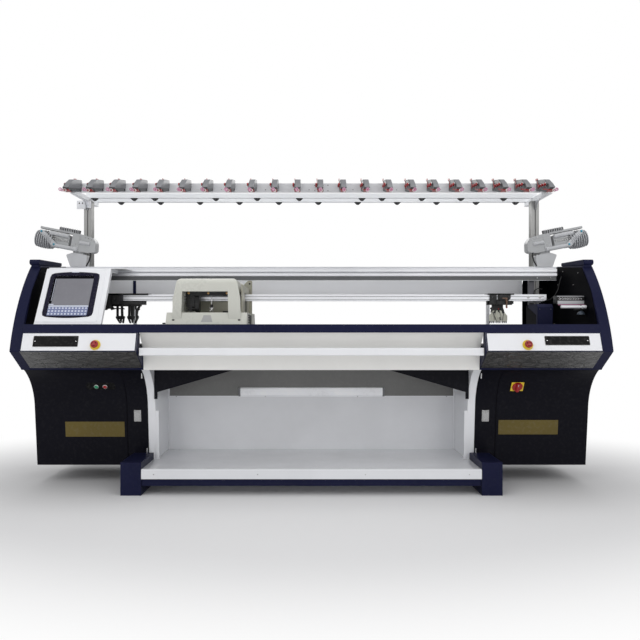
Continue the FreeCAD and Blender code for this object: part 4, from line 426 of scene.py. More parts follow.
class Piece:
    """One mesh under construction, in millimetres: across, behind the machine's nose, up."""

    def __init__(self, name: str, finish: Finishes) -> None:
        """Start an empty piece.

        Args:
            name: The piece's name in the scene.
            finish: The finish of its first faces.
        """
        self.name = name
        self.bm = bmesh.new()
        self.frame = Matrix.Identity(4)
        self.finishes = [finish]
        self.slot = 0

    def use(self, finish: Finishes) -> "Piece":
        """Give the faces added from now on another finish."""
        if finish not in self.finishes:
            self.finishes.append(finish)
        self.slot = self.finishes.index(finish)
        return self

    def at(self, matrix: Optional[Matrix] = None) -> "Piece":
        """Lay what is added from now on in a local frame, or back in the machine's own."""
        self.frame = matrix or Matrix.Identity(4)
        return self

    def on(self, x: float, y: float, z: float) -> "Piece":
        """Lay what is added from now on about a point, square to the machine."""
        return self.at(Matrix.Translation((x, y, z)))

    def _face(self, corners: Sequence[bmesh.types.BMVert]) -> None:
        """Add one face, unless its corners coincide."""
        if len(set(corners)) > 2:
            self.bm.faces.new(corners).material_index = self.slot

    def skin(self, rings: Sequence[Sequence[Point]], closed: bool = True, capped: bool = True) -> "Piece":
        """Join rows of points into a surface.

        Args:
            rings: Rows with the same number of points.
            closed: Whether each row closes on itself.
            capped: Whether the first and last rows are filled.
        """
        rows = [[self.bm.verts.new(self.frame @ Vector(point)) for point in ring] for ring in rings]
        count = len(rows[0])
        for near, far in zip(rows, rows[1:]):
            for k in range(count if closed else count - 1):
                j = (k + 1) % count
                self._face((near[k], near[j], far[j], far[k]))
        if capped and closed:
            self._face(rows[0][::-1])
            self._face(rows[-1])
        return self

    def prism(self, axis: str, low: float, high: float, outline: Outline) -> "Piece":
        """Extrude an outline.

        Args:
            axis: "x" for (depth, up) corners, "y" for (across, up), "z" for (across, depth).
            low: Where the solid starts along the axis.
            high: Where it ends.
            outline: The corners.
        """
        return self.skin([[LAY[axis](a, u, v) for u, v in outline] for a in (low, high)])

    def block(self, x: tuple, y: tuple, z: tuple, corner: float = 0.0) -> "Piece":
        """Add a box, its upright corners rounded if a corner radius is given."""
        outline = [(x[0], y[0]), (x[1], y[0]), (x[1], y[1]), (x[0], y[1])]
        return self.prism("z", z[0], z[1], rounded(outline, corner, 3) if corner else outline)

    def turned(self, profile: Outline, steps: int = 24, axis: str = "z") -> "Piece":
        """Turn a profile of (radius, along) points about the local frame's axis."""
        return self.skin([[LAY[axis](along, u, v) for u, v in circle(max(radius, 0.01), steps)]
                          for radius, along in profile])

    def bead(self, x: float, y: float, z: float, profile: Outline, steps: int = 12) -> "Piece":
        """Add a bead of (radius, up) rings about a point."""
        return self.skin([[(x + u, y + v, z + up) for u, v in circle(radius, steps)]
                          for radius, up in profile])

    def tube(self, path: Sequence[Point], radius: float, steps: int = 8) -> "Piece":
        """Sweep a round section along a path."""
        points = [Vector(point) for point in path]
        side = Vector((0.31, 0.17, 0.93))
        rings = []
        for index, point in enumerate(points):
            ahead = points[min(index + 1, len(points) - 1)] - points[max(index - 1, 0)]
            side = (side - ahead * (side.dot(ahead) / ahead.length_squared)).normalized()
            other = ahead.normalized().cross(side)
            rings.append([point + side * u + other * v for u, v in circle(radius, steps)])
        return self.skin(rings)

    def pipe(self, start: Point, end: Point, radius: float, steps: int = 16) -> "Piece":
        """Add a straight round rod."""
        return self.tube((start, end), radius, steps)

    def screw(self, x: float, y: float, z: float, radius: float = 4.0, facing: str = "-y") -> "Piece":
        """Add a domed socket screw head that faces along an axis."""
        turn = {"-y": Matrix.Rotation(math.pi / 2, 4, "X"), "+z": Matrix.Identity(4),
                "+x": Matrix.Rotation(math.pi / 2, 4, "Y"),
                "-x": Matrix.Rotation(-math.pi / 2, 4, "Y")}[facing]
        kept = self.frame
        self.frame = kept @ Matrix.Translation((x, y, z)) @ turn
        r = radius
        head = [(r, 0), (r, r * 0.45), (r * 0.8, r * 0.7), (r * 0.45, r * 0.75), (r * 0.4, r * 0.3)]
        self.turned(head, 14)
        self.frame = kept
        return self

    def _everything(self) -> list:
        """Return every vertex, edge and face so far."""
        return list(self.bm.verts) + list(self.bm.edges) + list(self.bm.faces)

    def repeat(self, offsets: Iterable[Point], source: Optional[list] = None) -> "Piece":
        """Copy some parts, or everything so far, to each offset; the original stays where it is."""
        source = source or self._everything()
        for offset in offsets:
            copied = bmesh.ops.duplicate(self.bm, geom=source)["geom"]
            moved = [part for part in copied if isinstance(part, bmesh.types.BMVert)]
            bmesh.ops.translate(self.bm, vec=Vector(offset), verts=moved)
        return self

    def mirror(self, keep: bool = True) -> "Piece":
        """Mirror everything so far to the machine's other end, beside the original or in its place."""
        source = self._everything()
        if keep:
            source = bmesh.ops.duplicate(self.bm, geom=source)["geom"]
        for vert in (part for part in source if isinstance(part, bmesh.types.BMVert)):
            vert.co.x = -vert.co.x
        bmesh.ops.reverse_faces(self.bm, faces=[part for part in source
                                                if isinstance(part, bmesh.types.BMFace)])
        return self

    def done(self, body: str, bevel: float = 0.8, replaces: Sequence[str] = (), smooth: float = 32.0,
             segments: int = 2) -> bpy.types.Object:
        """Finish the piece and let it ride on a body.

        Args:
            body: The CAD body that carries it.
            bevel: Width of its rounded edges, or 0 for none.
            replaces: The CAD nodes that it stands for.
            smooth: Edges flatter than this many degrees are shaded smooth.
            segments: Steps in each rounded edge.

        Returns:
            The new object.
        """
        bmesh.ops.recalc_face_normals(self.bm, faces=self.bm.faces)
        mesh = bpy.data.meshes.new(self.name)
        self.bm.to_mesh(mesh)
        self.bm.free()
        mesh.transform(Matrix.Translation((0, -NOSE_TO_ORIGIN * MM, 0)) @ Matrix.Scale(MM, 4))
        for finish in self.finishes:
            mesh.materials.append(finish.material())
        mesh.shade_smooth()
        mesh.set_sharp_from_angle(angle=math.radians(smooth))
        made = in_scene(self.name, mesh)
        if bevel:
            round_edges(made, bevel, segments, smooth)
        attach(made, body)
        if replaces:
            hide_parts(*replaces)
        LOG.info("%s rides on %s, %d faces", self.name, body, len(mesh.polygons))
        return made


# ---- the studio

@dataclass
class Studio:
    """Floor, surroundings, lamps and camera."""

    camera_distance: float = 3.95
    camera_height: float = 0.94
    lens: float = 36.15
    shift_x: float = 0.0133
    shift_y: float = 0.0109
    ambient: float = 0.5
    sensor: float = 36.0
    floor_half: float = 30.0
    floor_colour: Colour = (0.86, 0.86, 0.87)
    lamps: tuple = (("front_left_box", (-3.4, -4.6, 3.4), (0, 0, 0.8), (3.6, 3.0), 40),
                    ("front_right_box", (3.4, -4.6, 3.0), (0, 0, 0.8), (3.6, 3.0), 42),
                    ("low_front_box", (0, -5.6, 0.8), (0, 0, 0.5), (6.0, 1.4), 34),
                    ("top_box", (0, -0.4, 4.6), (0, 0, 1.0), (5.0, 3.0), 58),
                    ("rear_box", (0, 4.2, 3.2), (0, 0, 1.0), (4.0, 2.0), 45))

    def build_world(self) -> None:
        """Surround the machine with white for camera and glass, and with soft grey light for the rest."""
        world = bpy.data.worlds.new("studio")
        bpy.context.scene.world = world
        graph = Graph(world)
        ray = "ShaderNodeLightPath"
        seen = graph.put(ray, output="Is Camera Ray") + graph.put(ray, output="Is Transmission Ray")
        up = graph.axis(graph.put("ShaderNodeTexCoord", output="Generated"), "Z").ramp(-0.35, 0.75)
        glossy = graph.put(ray, output="Is Glossy Ray")
        sides = graph.mix(glossy, (self.ambient,) * 3, graph.mix(up, (0.1,) * 3, (0.62,) * 3))
        colour = graph.mix(seen, sides, PURE_WHITE)
        shader = graph.put("ShaderNodeBackground", None, {"Color": colour, "Strength": 1.0})
        graph.put("ShaderNodeOutputWorld", None, {"Surface": shader})

    def build_floor(self) -> None:
        """Lay a pale floor that keeps the machine's shadow and turns to plain white further out."""
        mesh = bpy.data.meshes.new("floor")
        far = self.floor_half
        mesh.from_pydata([(x, y, 0) for x, y in rect(-far, far, -far, far)], [], [(0, 1, 2, 3)])
        floor = in_scene("floor", mesh)
        material = bpy.data.materials.new("pale_floor")
        graph = Graph(material)
        place = graph.place()
        speckle = graph.noise(place, 9.0, 4.0)
        colour = graph.mix(speckle, shade(self.floor_colour, 0.99), self.floor_colour)
        matt = graph.put("ShaderNodeBsdfDiffuse", None, {"Color": colour})
        white = graph.put("ShaderNodeEmission", None, {"Color": PURE_WHITE, "Strength": 1.0})
        away = graph.put("ShaderNodeVectorMath", {"operation": "LENGTH"},
                         {0: graph.stretch(place, (0.5, 0.75, 1.0))}, "Value").ramp(0.95, 1.7)
        seen = graph.put("ShaderNodeLightPath", output="Is Camera Ray")
        shader = graph.put("ShaderNodeMixShader", None, {0: away * seen, 1: matt, 2: white})
        graph.put("ShaderNodeOutputMaterial", None, {"Surface": shader})
        mesh.materials.append(material)

    def _lamp(self, name: str, place: Point, aim: Point, size: tuple[float, float], power: float) -> None:
        """Hang one soft box and turn it to a point."""
        light = bpy.data.lights.new(name, "AREA")
        light.shape = "RECTANGLE"
        light.size, light.size_y = size
        light.energy = power
        lamp = in_scene(name, light)
        lamp.location = place
        lamp.rotation_euler = (Vector(aim) - Vector(place)).to_track_quat("-Z", "Y").to_euler()

    def build_lamps(self) -> None:
        """Light the machine softly from the front and above."""
        for lamp in self.lamps:
            self._lamp(*lamp)

    def build_camera(self) -> None:
        """Stand the camera level and straight in front of the machine."""
        data = bpy.data.cameras.new("camera")
        data.lens = self.lens
        data.sensor_width = self.sensor
        data.shift_x = self.shift_x
        data.shift_y = self.shift_y
        camera = in_scene("camera", data)
        camera.location = (0, -self.camera_distance, self.camera_height)
        camera.rotation_euler = (math.pi / 2, 0, 0)
        bpy.context.scene.camera = camera

    def build(self) -> None:
        """Build the whole studio."""
        bpy.context.scene.view_settings.view_transform = "Standard"
        self.build_world()
        self.build_floor()
        self.build_lamps()
        self.build_camera()


# ---- finishes of the CAD's own solids

# the nodes of the frame that each finish is for
NODES_BY_FINISH: dict[Finishes, str] = {
    Finishes.NAVY: "base_frame console_left console_right side_plates front_beam",
    Finishes.GLOSS_WHITE: "tray bay_rear_panels",
    Finishes.WHITE: "bay_walls strip_panels rear_panel gantry_plate control_panel_case operating_bar",
    Finishes.LIGHT_TUBE: "bay_light",
    Finishes.DARK_NAVY: "bay_gussets cabinet_left cabinet_right service_door_left service_door_right",
    Finishes.BLACK_PLATE: "control_plates",
    Finishes.FILM: "skirts",
    Finishes.CREAM: "front_cover",
    Finishes.GREY: "bed_support",
    Finishes.STEEL: "needle_bed_front needle_bed_rear carriage_rails",
    Finishes.CHROME: "needles door_latch_left door_latch_right",
    Finishes.ALUMINIUM: "top_beam carrier_rails belt_pulley_left belt_pulley_right",
    Finishes.DARK_STEEL: "columns",
    Finishes.POST_METAL: "posts",
    Finishes.PALE_METAL: "gantry_bars",
    Finishes.BLACK: "thread_eyelets drive_motor yarn_carrier_left yarn_carrier_right",
    Finishes.COVER_GREY: "tension_unit_bodies",
    Finishes.RED: "tension_controls stop_button_left stop_button_right red_button main_switch",
    Finishes.PINK: "tension_rings",
    Finishes.FEEDER_GREY: "storage_feeder_left storage_feeder_right",
    Finishes.BEZEL_NAVY: "display_bezel",
    Finishes.SCREEN: "screen_and_keypad",
    Finishes.RUBBER: "drive_belt takedown_roller_front takedown_roller_rear",
    Finishes.BOW_CREAM: "carriage_cam_boxes carriage_bow",
    Finishes.GREENISH: "carriage_side_plates",
    Finishes.GREEN: "green_button",
    Finishes.LIGHT_GREY: "storage_wheel_left storage_wheel_right",
}


def dress_nodes() -> None:
    """Give every solid of the frame its finish."""
    finishes = {name: finish for finish, names in NODES_BY_FINISH.items() for name in names.split()}
    for name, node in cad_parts.items():
        node.data.materials.clear()
        node.data.materials.append(finishes[name].material())


# ---- control panel, buttons and plates

def radial(outline: Outline, count: int) -> list:
    """Return the points where evenly spaced rays from the origin leave an outline, to join outlines by."""
    slack = 1e-6
    points = []
    for k in range(count):
        ray = Vector(polar(1.0, math.tau * k / count))
        best = 0.0
        for index, corner in enumerate(outline):
            a, b = Vector(outline[index - 1]), Vector(corner)
            edge = b - a
            cross = ray.x * edge.y - ray.y * edge.x
            if abs(cross) < slack / 1000:
                continue
            along = (a.x * edge.y - a.y * edge.x) / cross
            part = (a.x * ray.y - a.y * ray.x) / cross
            if along > best and -slack <= part <= 1 + slack:
                best = along
        points.append((ray.x * best, ray.y * best))
    return points


@dataclass
class ControlPanel:
    """Leaning case on the left console with its arched bezel, screen and keys."""

    inner: float = 1167.0
    outer: float = 1540.0
    foot: tuple[float, float] = (62.0, 955.0)
    brow: tuple[float, float] = (245.0, 1281.0)
    roof_rear: float = 370.0
    shell: float = 22.0
    centre: float = -1365.5
    bezel_size: tuple[float, float] = (286.0, 290.0)
    bezel_along: float = 193.0
    arch: float = 10.0
    opening: tuple[float, float, float, float] = (-117.0, 112.0, 49.0, 320.0)
    screen: tuple[float, float, float, float] = (-102.0, 110.5, 121.0, 300.0)
    keypad: tuple[float, float, float, float] = (-114.0, 110.0, 54.0, 110.0)
    columns: int = 12
    rows: int = 3

    @property
    def face(self) -> Matrix:
        """Frame of the leaning face, its origin at the middle of the face's lower edge."""
        lean = math.degrees(math.atan2(self.brow[0] - self.foot[0], self.brow[1] - self.foot[1]))
        return lean_frame(self.centre, *self.foot, lean)

    def build_case(self) -> None:
        """Fold the white shell with its flush lid, and fill it with the black housing and its plugs."""
        case = Piece("panel_case", Finishes.WHITE)
        (foot, low), (brow, high), wall = self.foot, self.brow, self.shell
        shell = [(foot, low), (brow, high), (self.roof_rear, high), (self.roof_rear, high - wall),
                 (brow + wall, high - wall), (foot + wall, low)]
        case.prism("x", -self.outer, -self.inner, rounded(shell, 12, 5, {1, 4}))
        case.prism("z", high - 1, high + 4.8, rounded(rect(-1535, -1090, 250, 418), 16, 5))
        case.at(self.face)
        case.prism("y", -2.5, 1, rounded(rect(-172, 172, 14, 357), 10, 4))
        case.at().use(Finishes.BLACK_AND_SHADE)
        case.prism("x", -1518, -1262, [(foot + wall, low + 1), (brow + wall, high - wall),
                                       (369, high - wall), (369, 1100), (260, low + 1)])
        for k in range(6):
            case.prism("x", -1263, -1260.5, [(200 + 12 * k, 1010 + 10 * k), (206 + 12 * k, 1010 + 10 * k),
                                             (236 + 12 * k, 1070 + 10 * k), (230 + 12 * k, 1070 + 10 * k)])
        case.use(Finishes.BLACK)
        for bottom, top in ((1213, 1257), (1046, 1135)):
            case.block((-1262, -1222), (331, 369.5), (bottom, top), 6)
            case.block((-1225, -1206), (335, 366), (bottom + 5, top - 5), 5)
            for k in range(3):
                case.block((-1220 + 6 * k, -1217 + 6 * k), (333, 368), (bottom + 3, top - 3), 6)
        case.use(Finishes.STEEL)
        for height in (1130, 1215):
            case.screw(-1260.8, 300, height, 3.5, "+x")
        case.done("machine", bevel=2.2, replaces=["control_panel_case"], segments=3)

    def _bezel_outline(self, inset: float) -> list:
        """Return the bezel's outline about its middle, bowed at top and bottom."""
        half = self.bezel_size[0] / 2 - inset
        tall = self.bezel_size[1] / 2 - inset
        crown = []
        for step in range(13):
            u = half * 0.93 * (1 - step / 6)
            crown.append((u, tall + self.arch * (1 - (u / (half * 0.93)) ** 2)))
        side = [(-half, tall - 12), (-half, 12 - tall)]
        base = [(-u, -v) for u, v in crown]
        return rounded([*crown, *side, *base, (half, 12 - tall), (half, tall - 12)], 9, 3)

    def build_bezel(self) -> None:
        """Mould the navy bezel round the sunk screen and keypad."""
        bezel = Piece("panel_bezel", Finishes.BEZEL_NAVY)
        bezel.at(self.face @ Matrix.Translation((0, 0, self.bezel_along)))
        left, right = self.opening[:2]
        low, high = (along - self.bezel_along for along in self.opening[2:])
        count = 72
        opening = rect(left, right, low, high)

        def ring(outline: Outline, out: float) -> list:
            """Return one ring of the bezel at a height above the case."""
            return [(u, out, v) for u, v in radial(outline, count)]

        rings = [ring(self._bezel_outline(0), 1), ring(self._bezel_outline(1), -3.5),
                 ring(self._bezel_outline(7), -7.8), ring(rounded(opening, 6, 2), -5.6),
                 ring(opening, -2.5)]
        bezel.skin(rings, capped=False)
        # painted shadow: a black plate fills the opening behind the glass and keys, and the black bands it
        # shows round the screen are the shadow of the bezel's rim
        bezel.use(Finishes.BLACK_AND_SHADE).prism("y", -2.6, 0.5, opening)
        bezel.use(Finishes.KEY_WHITE).prism("y", -7.9, -6.5,
                                            rounded([(-22, 147), (22, 147), (20, 151), (-20, 151)], 2))
        bezel.done("machine", bevel=0.4, replaces=["display_bezel"])

    def build_screen(self) -> None:
        """Set the glass, its thin rim, the key mat and every key."""
        left, right, low, high = self.screen
        glass = Piece("panel_screen", Finishes.SCREEN).at(self.face)
        glass.prism("y", -4.2, -2.4, rect(left, right, low, high))
        glass.use(Finishes.KEY_WHITE)
        glass.prism("y", -4.6, -2.4, rect(left - 12, right, low - 10, low - 1))
        glass.prism("y", -4.4, -2.4, rect(left - 5, left - 2.6, low + 30, high))
        glass.prism("y", -5.2, -4.2, rounded(rect(left - 12, left + 14, 123, 129), 1.5, 2))
        left, right, low, high = self.keypad
        glass.use(Finishes.KEY_BLUE)
        glass.prism("y", -4.4, -2.4, rounded(rect(left, right, low, high), 3))
        glass.use(Finishes.KEY_WHITE)
        pitch = ((right - left) / self.columns, (high - low) / self.rows)
        for row in range(self.rows):
            for column in range(self.columns):
                u = left + (column + 0.5) * pitch[0]
                v = low + (row + 0.5) * pitch[1]
                cap = rounded(rect(u - 4.8, u + 4.8, v - 5, v + 5), 2, 2)
                glass.prism("y", -6.4, -4.3, cap)
        glass.done("machine", bevel=0.5, replaces=["screen_and_keypad"])

    def build(self) -> None:
        """Build the whole panel."""
        self.build_case()
        self.build_bezel()
        self.build_screen()


@dataclass
class CabinetFace:
    """The curved brow of both lower cabinets, with what is let into it."""

    plate_depth: float = 289.2
    plate_height: float = 591.0
    lean: float = -31.37
    recess: float = 6.0
    plate_top: float = -3.2
    plate_x: float = 1241.0
    switch_x: float = 1212.0
    button_pitch: float = 51.0
    switch_radius: float = 31.0
    knee: tuple[float, float] = (333.0, 450.0)
    foot_run: float = 36.0
    foot_rise: float = 340.0
    brow_middle: tuple[float, float] = (288.75, 591.75)
    brow_bulge: tuple[float, float] = (30.75, 18.75)
    half_chord: float = 144.06
    skin_ends: tuple[float, float] = (1103.0, 1646.0)
    skin_heights: tuple[float, float] = (112.0, 692.0)
    skin_corner: float = 52.0
    skin_proud: float = 2.5

    def face(self, x: float) -> Matrix:
        """Frame of the brow at the height of the plates."""
        return lean_frame(x, self.plate_depth, self.plate_height, self.lean)

    def build_plates(self) -> None:
        """Set both plates, the yellow square, the chrome bezels and the yellow rings of the stops."""
        plates = Piece("control_plates_dressed", Finishes.BLACK_PLATE)
        top = self.plate_top
        plates.at(self.face(-self.plate_x)).prism("y", top, self.recess - 0.2, oblong(173, 64, 10))
        plates.at(self.face(self.switch_x))
        plates.prism("y", top, self.recess - 0.2, [(-52, -34), (52, -34), (66, 44), (-38, 44)])
        plates.use(Finishes.YELLOW)
        plates.prism("y", top - 3, top, rounded(rect(-37, 37, -31, 31), 3))
        plates.use(Finishes.BLACK).prism("y", top - 3.6, top - 3, circle(29, 32))
        plates.use(Finishes.CHROME)
        for sign in (-1, 1):
            plates.at(self.face(-self.plate_x + sign * self.button_pitch / 2))
            plates.turned([(15, top), (15, top - 2.5), (13.6, top - 5), (12, top - 5.8), (11.6, top - 5.2),
                           (11.5, top)], 32, "y")
        plates.use(Finishes.YELLOW)
        for sign in (-1, 1):
            plates.at(STOP.face(sign))
            plates.turned([(29, 0), (29, -3), (27.5, -5), (20, -6.5), (16, -7.8), (12, -8), (11.6, -7),
                           (11.6, 0)], 40, "y")
        plates.done("machine", bevel=0.4, replaces=["control_plates"])

    def build_buttons(self) -> None:
        """Make the green and the red push button with their dished caps."""
        for colour, sign, finish in (("green", -1, Finishes.GREEN), ("red", 1, Finishes.RED)):
            body = {"green": "start_button", "red": "halt_button"}[colour]
            button = Piece(f"{colour}_button_cap", finish)
            button.at(self.face(-self.plate_x + sign * self.button_pitch / 2))
            button.turned([(11, -7), (11, -7.8), (10.2, -8.9), (8, -8.6), (4, -8.1), (0.1, -8)], 32, "y")
            button.done(body, bevel=0, replaces=[f"{colour}_button"])

    def build_switch(self) -> None:
        """Make the red rotary switch: a ribbed disc with a bevelled grip bar across it."""
        knob = Piece("main_switch_knob", Finishes.RED).at(self.face(self.switch_x))
        disc = circle(self.switch_radius, 48)
        ribs = [(u * f, v * f) for (u, v), f in zip(disc, [0.975, 1.0] * 24)]
        face = [(u * 0.93, v * 0.93) for u, v in disc]
        wide = rounded([(-9, -29), (9, -29), (9.5, 0), (9, 29), (-9, 29), (-9.5, 0)], 5, 3)
        narrow = [(u * 0.72, v * 0.93) for u, v in wide]
        for rings in (((ribs, 0), (ribs, -9), (face, -12)), ((wide, -11), (wide, -21), (narrow, -23.8))):
            knob.skin([[(u, depth, v) for u, v in outline] for outline, depth in rings])
        knob.use(Finishes.KEY_WHITE).prism("y", -24, -23.6, rect(-1.2, 1.2, 12, 25))
        knob.done("power_switch", bevel=0.7, replaces=["main_switch"])

    def brow_point(self, height: float) -> tuple[float, float]:
        """Return the depth of the cabinet's front at a height, and how far it leans there in degrees."""
        knee_depth, knee_height = self.knee
        if height <= knee_height:
            return knee_depth + (knee_height - height) * self.foot_run / self.foot_rise, self._lean_low
        bulge = Vector(self.brow_bulge)
        radius = (self.half_chord ** 2 + bulge.length ** 2) / (2 * bulge.length)
        centre = Vector(self.brow_middle) - bulge.normalized() * radius
        rise = height - centre.y
        depth = centre.x + math.sqrt(max(radius ** 2 - rise ** 2, 0.0))
        return depth, -math.degrees(math.atan2(rise, depth - centre.x))

    def build_skins(self) -> None:
        """Lay the raised front sheet of each cabinet, with its round inner top corner."""
        skin = Piece("cabinet_skins", Finishes.DARK_NAVY)
        (start, end), (low, high), steps = self.skin_ends, self.skin_heights, 44
        rows = []
        for height in (low + (high - low) * k / steps for k in range(steps + 1)):
            depth, _ = self.brow_point(height)
            over = max(height - (high - self.skin_corner), 0.0)
            inner = start + (self.skin_corner - math.sqrt(max(self.skin_corner ** 2 - over ** 2, 0.0)))
            front = depth - self.skin_proud
            rows.append([(inner, depth + 1, height), (inner, front, height), (end, front, height),
                         (end, depth + 1, height)])
        skin.skin(rows)
        skin.mirror()
        skin.done("machine", bevel=1.2)

    @property
    def _lean_low(self) -> float:
        """Lean of the cabinet's straight lower front, in degrees."""
        return math.degrees(math.atan2(-self.foot_run, self.foot_rise))

    def _toe(self, height: float) -> tuple[float, float]:
        """Return depth and height of a point on the straight lower front."""
        return self.brow_point(height)[0] - self.skin_proud, height

    def build_nameplates(self) -> None:
        """Fix a bare gold plate on each cabinet and a bare black one on each strip panel."""
        plates = Piece("cabinet_plates", Finishes.GOLD_PLATE)
        for x, height, width, tall in ((-1294, 329, 354, 92), (1295, 341, 356, 88)):
            plates.at(lean_frame(x, *self._toe(height), self._lean_low))
            half, up = width / 2, tall / 2
            plates.prism("y", -1.6, 0.5, rounded(rect(-half, half, -up, up), 2, 2))
        plates.done("machine", bevel=0.5)
        black = Piece("strip_plates", Finishes.BLACK_PLATE)
        for x, height, width, tall in ((-1401, 861, 250, 66), (1401, 865, 248, 56)):
            black.at(STOP.face_at(x, height))
            half, up = width / 2, tall / 2
            outline = rounded(rect(-half, half, -up, up), 6, 3)
            black.use(Finishes.STEEL).prism("y", -1.6, 0.5, outline)
            inner = rounded(rect(2 - half, half - 2, 2 - up, up - 2), 5, 3)
            black.use(Finishes.BLACK_PLATE).prism("y", -2.4, -1.2, inner)
            black.use(Finishes.CHROME)
            for sign in (-1, 1):
                black.screw(sign * (half - 13), -2.4, 0, 3.2)
        black.done("machine", bevel=0.4)

    def build_latches(self) -> None:
        """Make the drop latch of each service door, with its keeper plate, spring bar and screws."""
        for side, sign in ENDS:
            depth, lean = self.brow_point(446)
            latch = Piece(f"door_latch_{side}_dressed", Finishes.STEEL)
            latch.at(lean_frame(sign * 1038, depth, 446, lean))
            latch.prism("y", -2, -0.2, rounded(rect(-21, 21, -71, -1), 4))
            latch.prism("y", -4.8, -2, rounded([(-14, -66), (14, -66), (16, -18), (-16, -18)], 5))
            latch.skin([[(-13, -2 - out, z), (13, -2 - out, z), (13, -0.6 - out, z), (-13, -0.6 - out, z)]
                        for out, z in ((0, -52), (2.6, -58), (2.9, -66), (2.0, -70))])
            latch.pipe((-18, -3.4, -12), (18, -3.4, -12), 1.5, 10)
            for u in (-16, 16):
                for v in (-8, -64):
                    latch.screw(u, -2, v, 2.6)
            latch.use(Finishes.BLACK).prism("y", -4.95, -4.6, oblong(26, 5, 6))
            latch.done(f"{side}_latch", bevel=0.5, replaces=[f"door_latch_{side}"])

    def build(self) -> None:
        """Dress the cabinets."""
        self.build_plates()
        self.build_buttons()
        self.build_switch()
        self.build_skins()
        self.build_nameplates()
        self.build_latches()


@dataclass
class StopButtons:
    """Emergency stop on each strip panel."""

    x: float = 1182.0
    height: float = 841.0
    lean: float = 19.76

    def face_at(self, x: float, height: float) -> Matrix:
        """Frame of the strip panel's face at a place."""
        return lean_frame(x, (height - 806) * 37 / 103, height, self.lean)

    def face(self, sign: int) -> Matrix:
        """Frame of the strip panel's face at the stop of one side."""
        return self.face_at(sign * self.x, self.height)

    def build(self) -> None:
        """Turn both mushrooms and cut the twist arrows into their caps."""
        for side, sign in ENDS:
            cap = Piece(f"stop_mushroom_{side}", Finishes.RED).at(self.face(sign))
            cap.turned([(11, -7.6), (11, -14), (18.5, -14.2), (20.6, -15.6), (21, -18), (20.4, -21.5),
                        (17, -25), (10, -26.7), (0.1, -27)], 40, "y")
            cap.use(Finishes.BLACK_AND_SHADE)
            for turn in range(3):
                arc = [(math.tau * turn / 3 + 0.16 * step, 11.6 if step == 8 else 13.0)
                       for step in range(9)]
                outer = [polar(radius, angle) for angle, radius in arc]
                inner = [polar(23 - radius, angle) for angle, radius in arc]
                cap.skin([[(u, out, v) for u, v in edge]
                          for edge, out in ((outer, -26.6), (inner, -26.75))], closed=False, capped=False)
            cap.done(f"{side}_stop", bevel=0, replaces=[f"stop_button_{side}"], smooth=50)


STOP = StopButtons()


# ---- carriage, yarn carriers and what they run on

def solid_between(first: bpy.types.Object, second: bpy.types.Object, operation: str) -> bpy.types.Object:
    """Join two objects by a boolean, remove the second and return the first."""
    tool = first.modifiers.new("join", "BOOLEAN")
    tool.operation = operation
    tool.solver = "EXACT"
    tool.object = second
    shape = first.evaluated_get(bpy.context.evaluated_depsgraph_get())
    mesh = bpy.data.meshes.new_from_object(shape)
    first.modifiers.clear()
    first.data = mesh
    bpy.data.objects.remove(second)
    return first


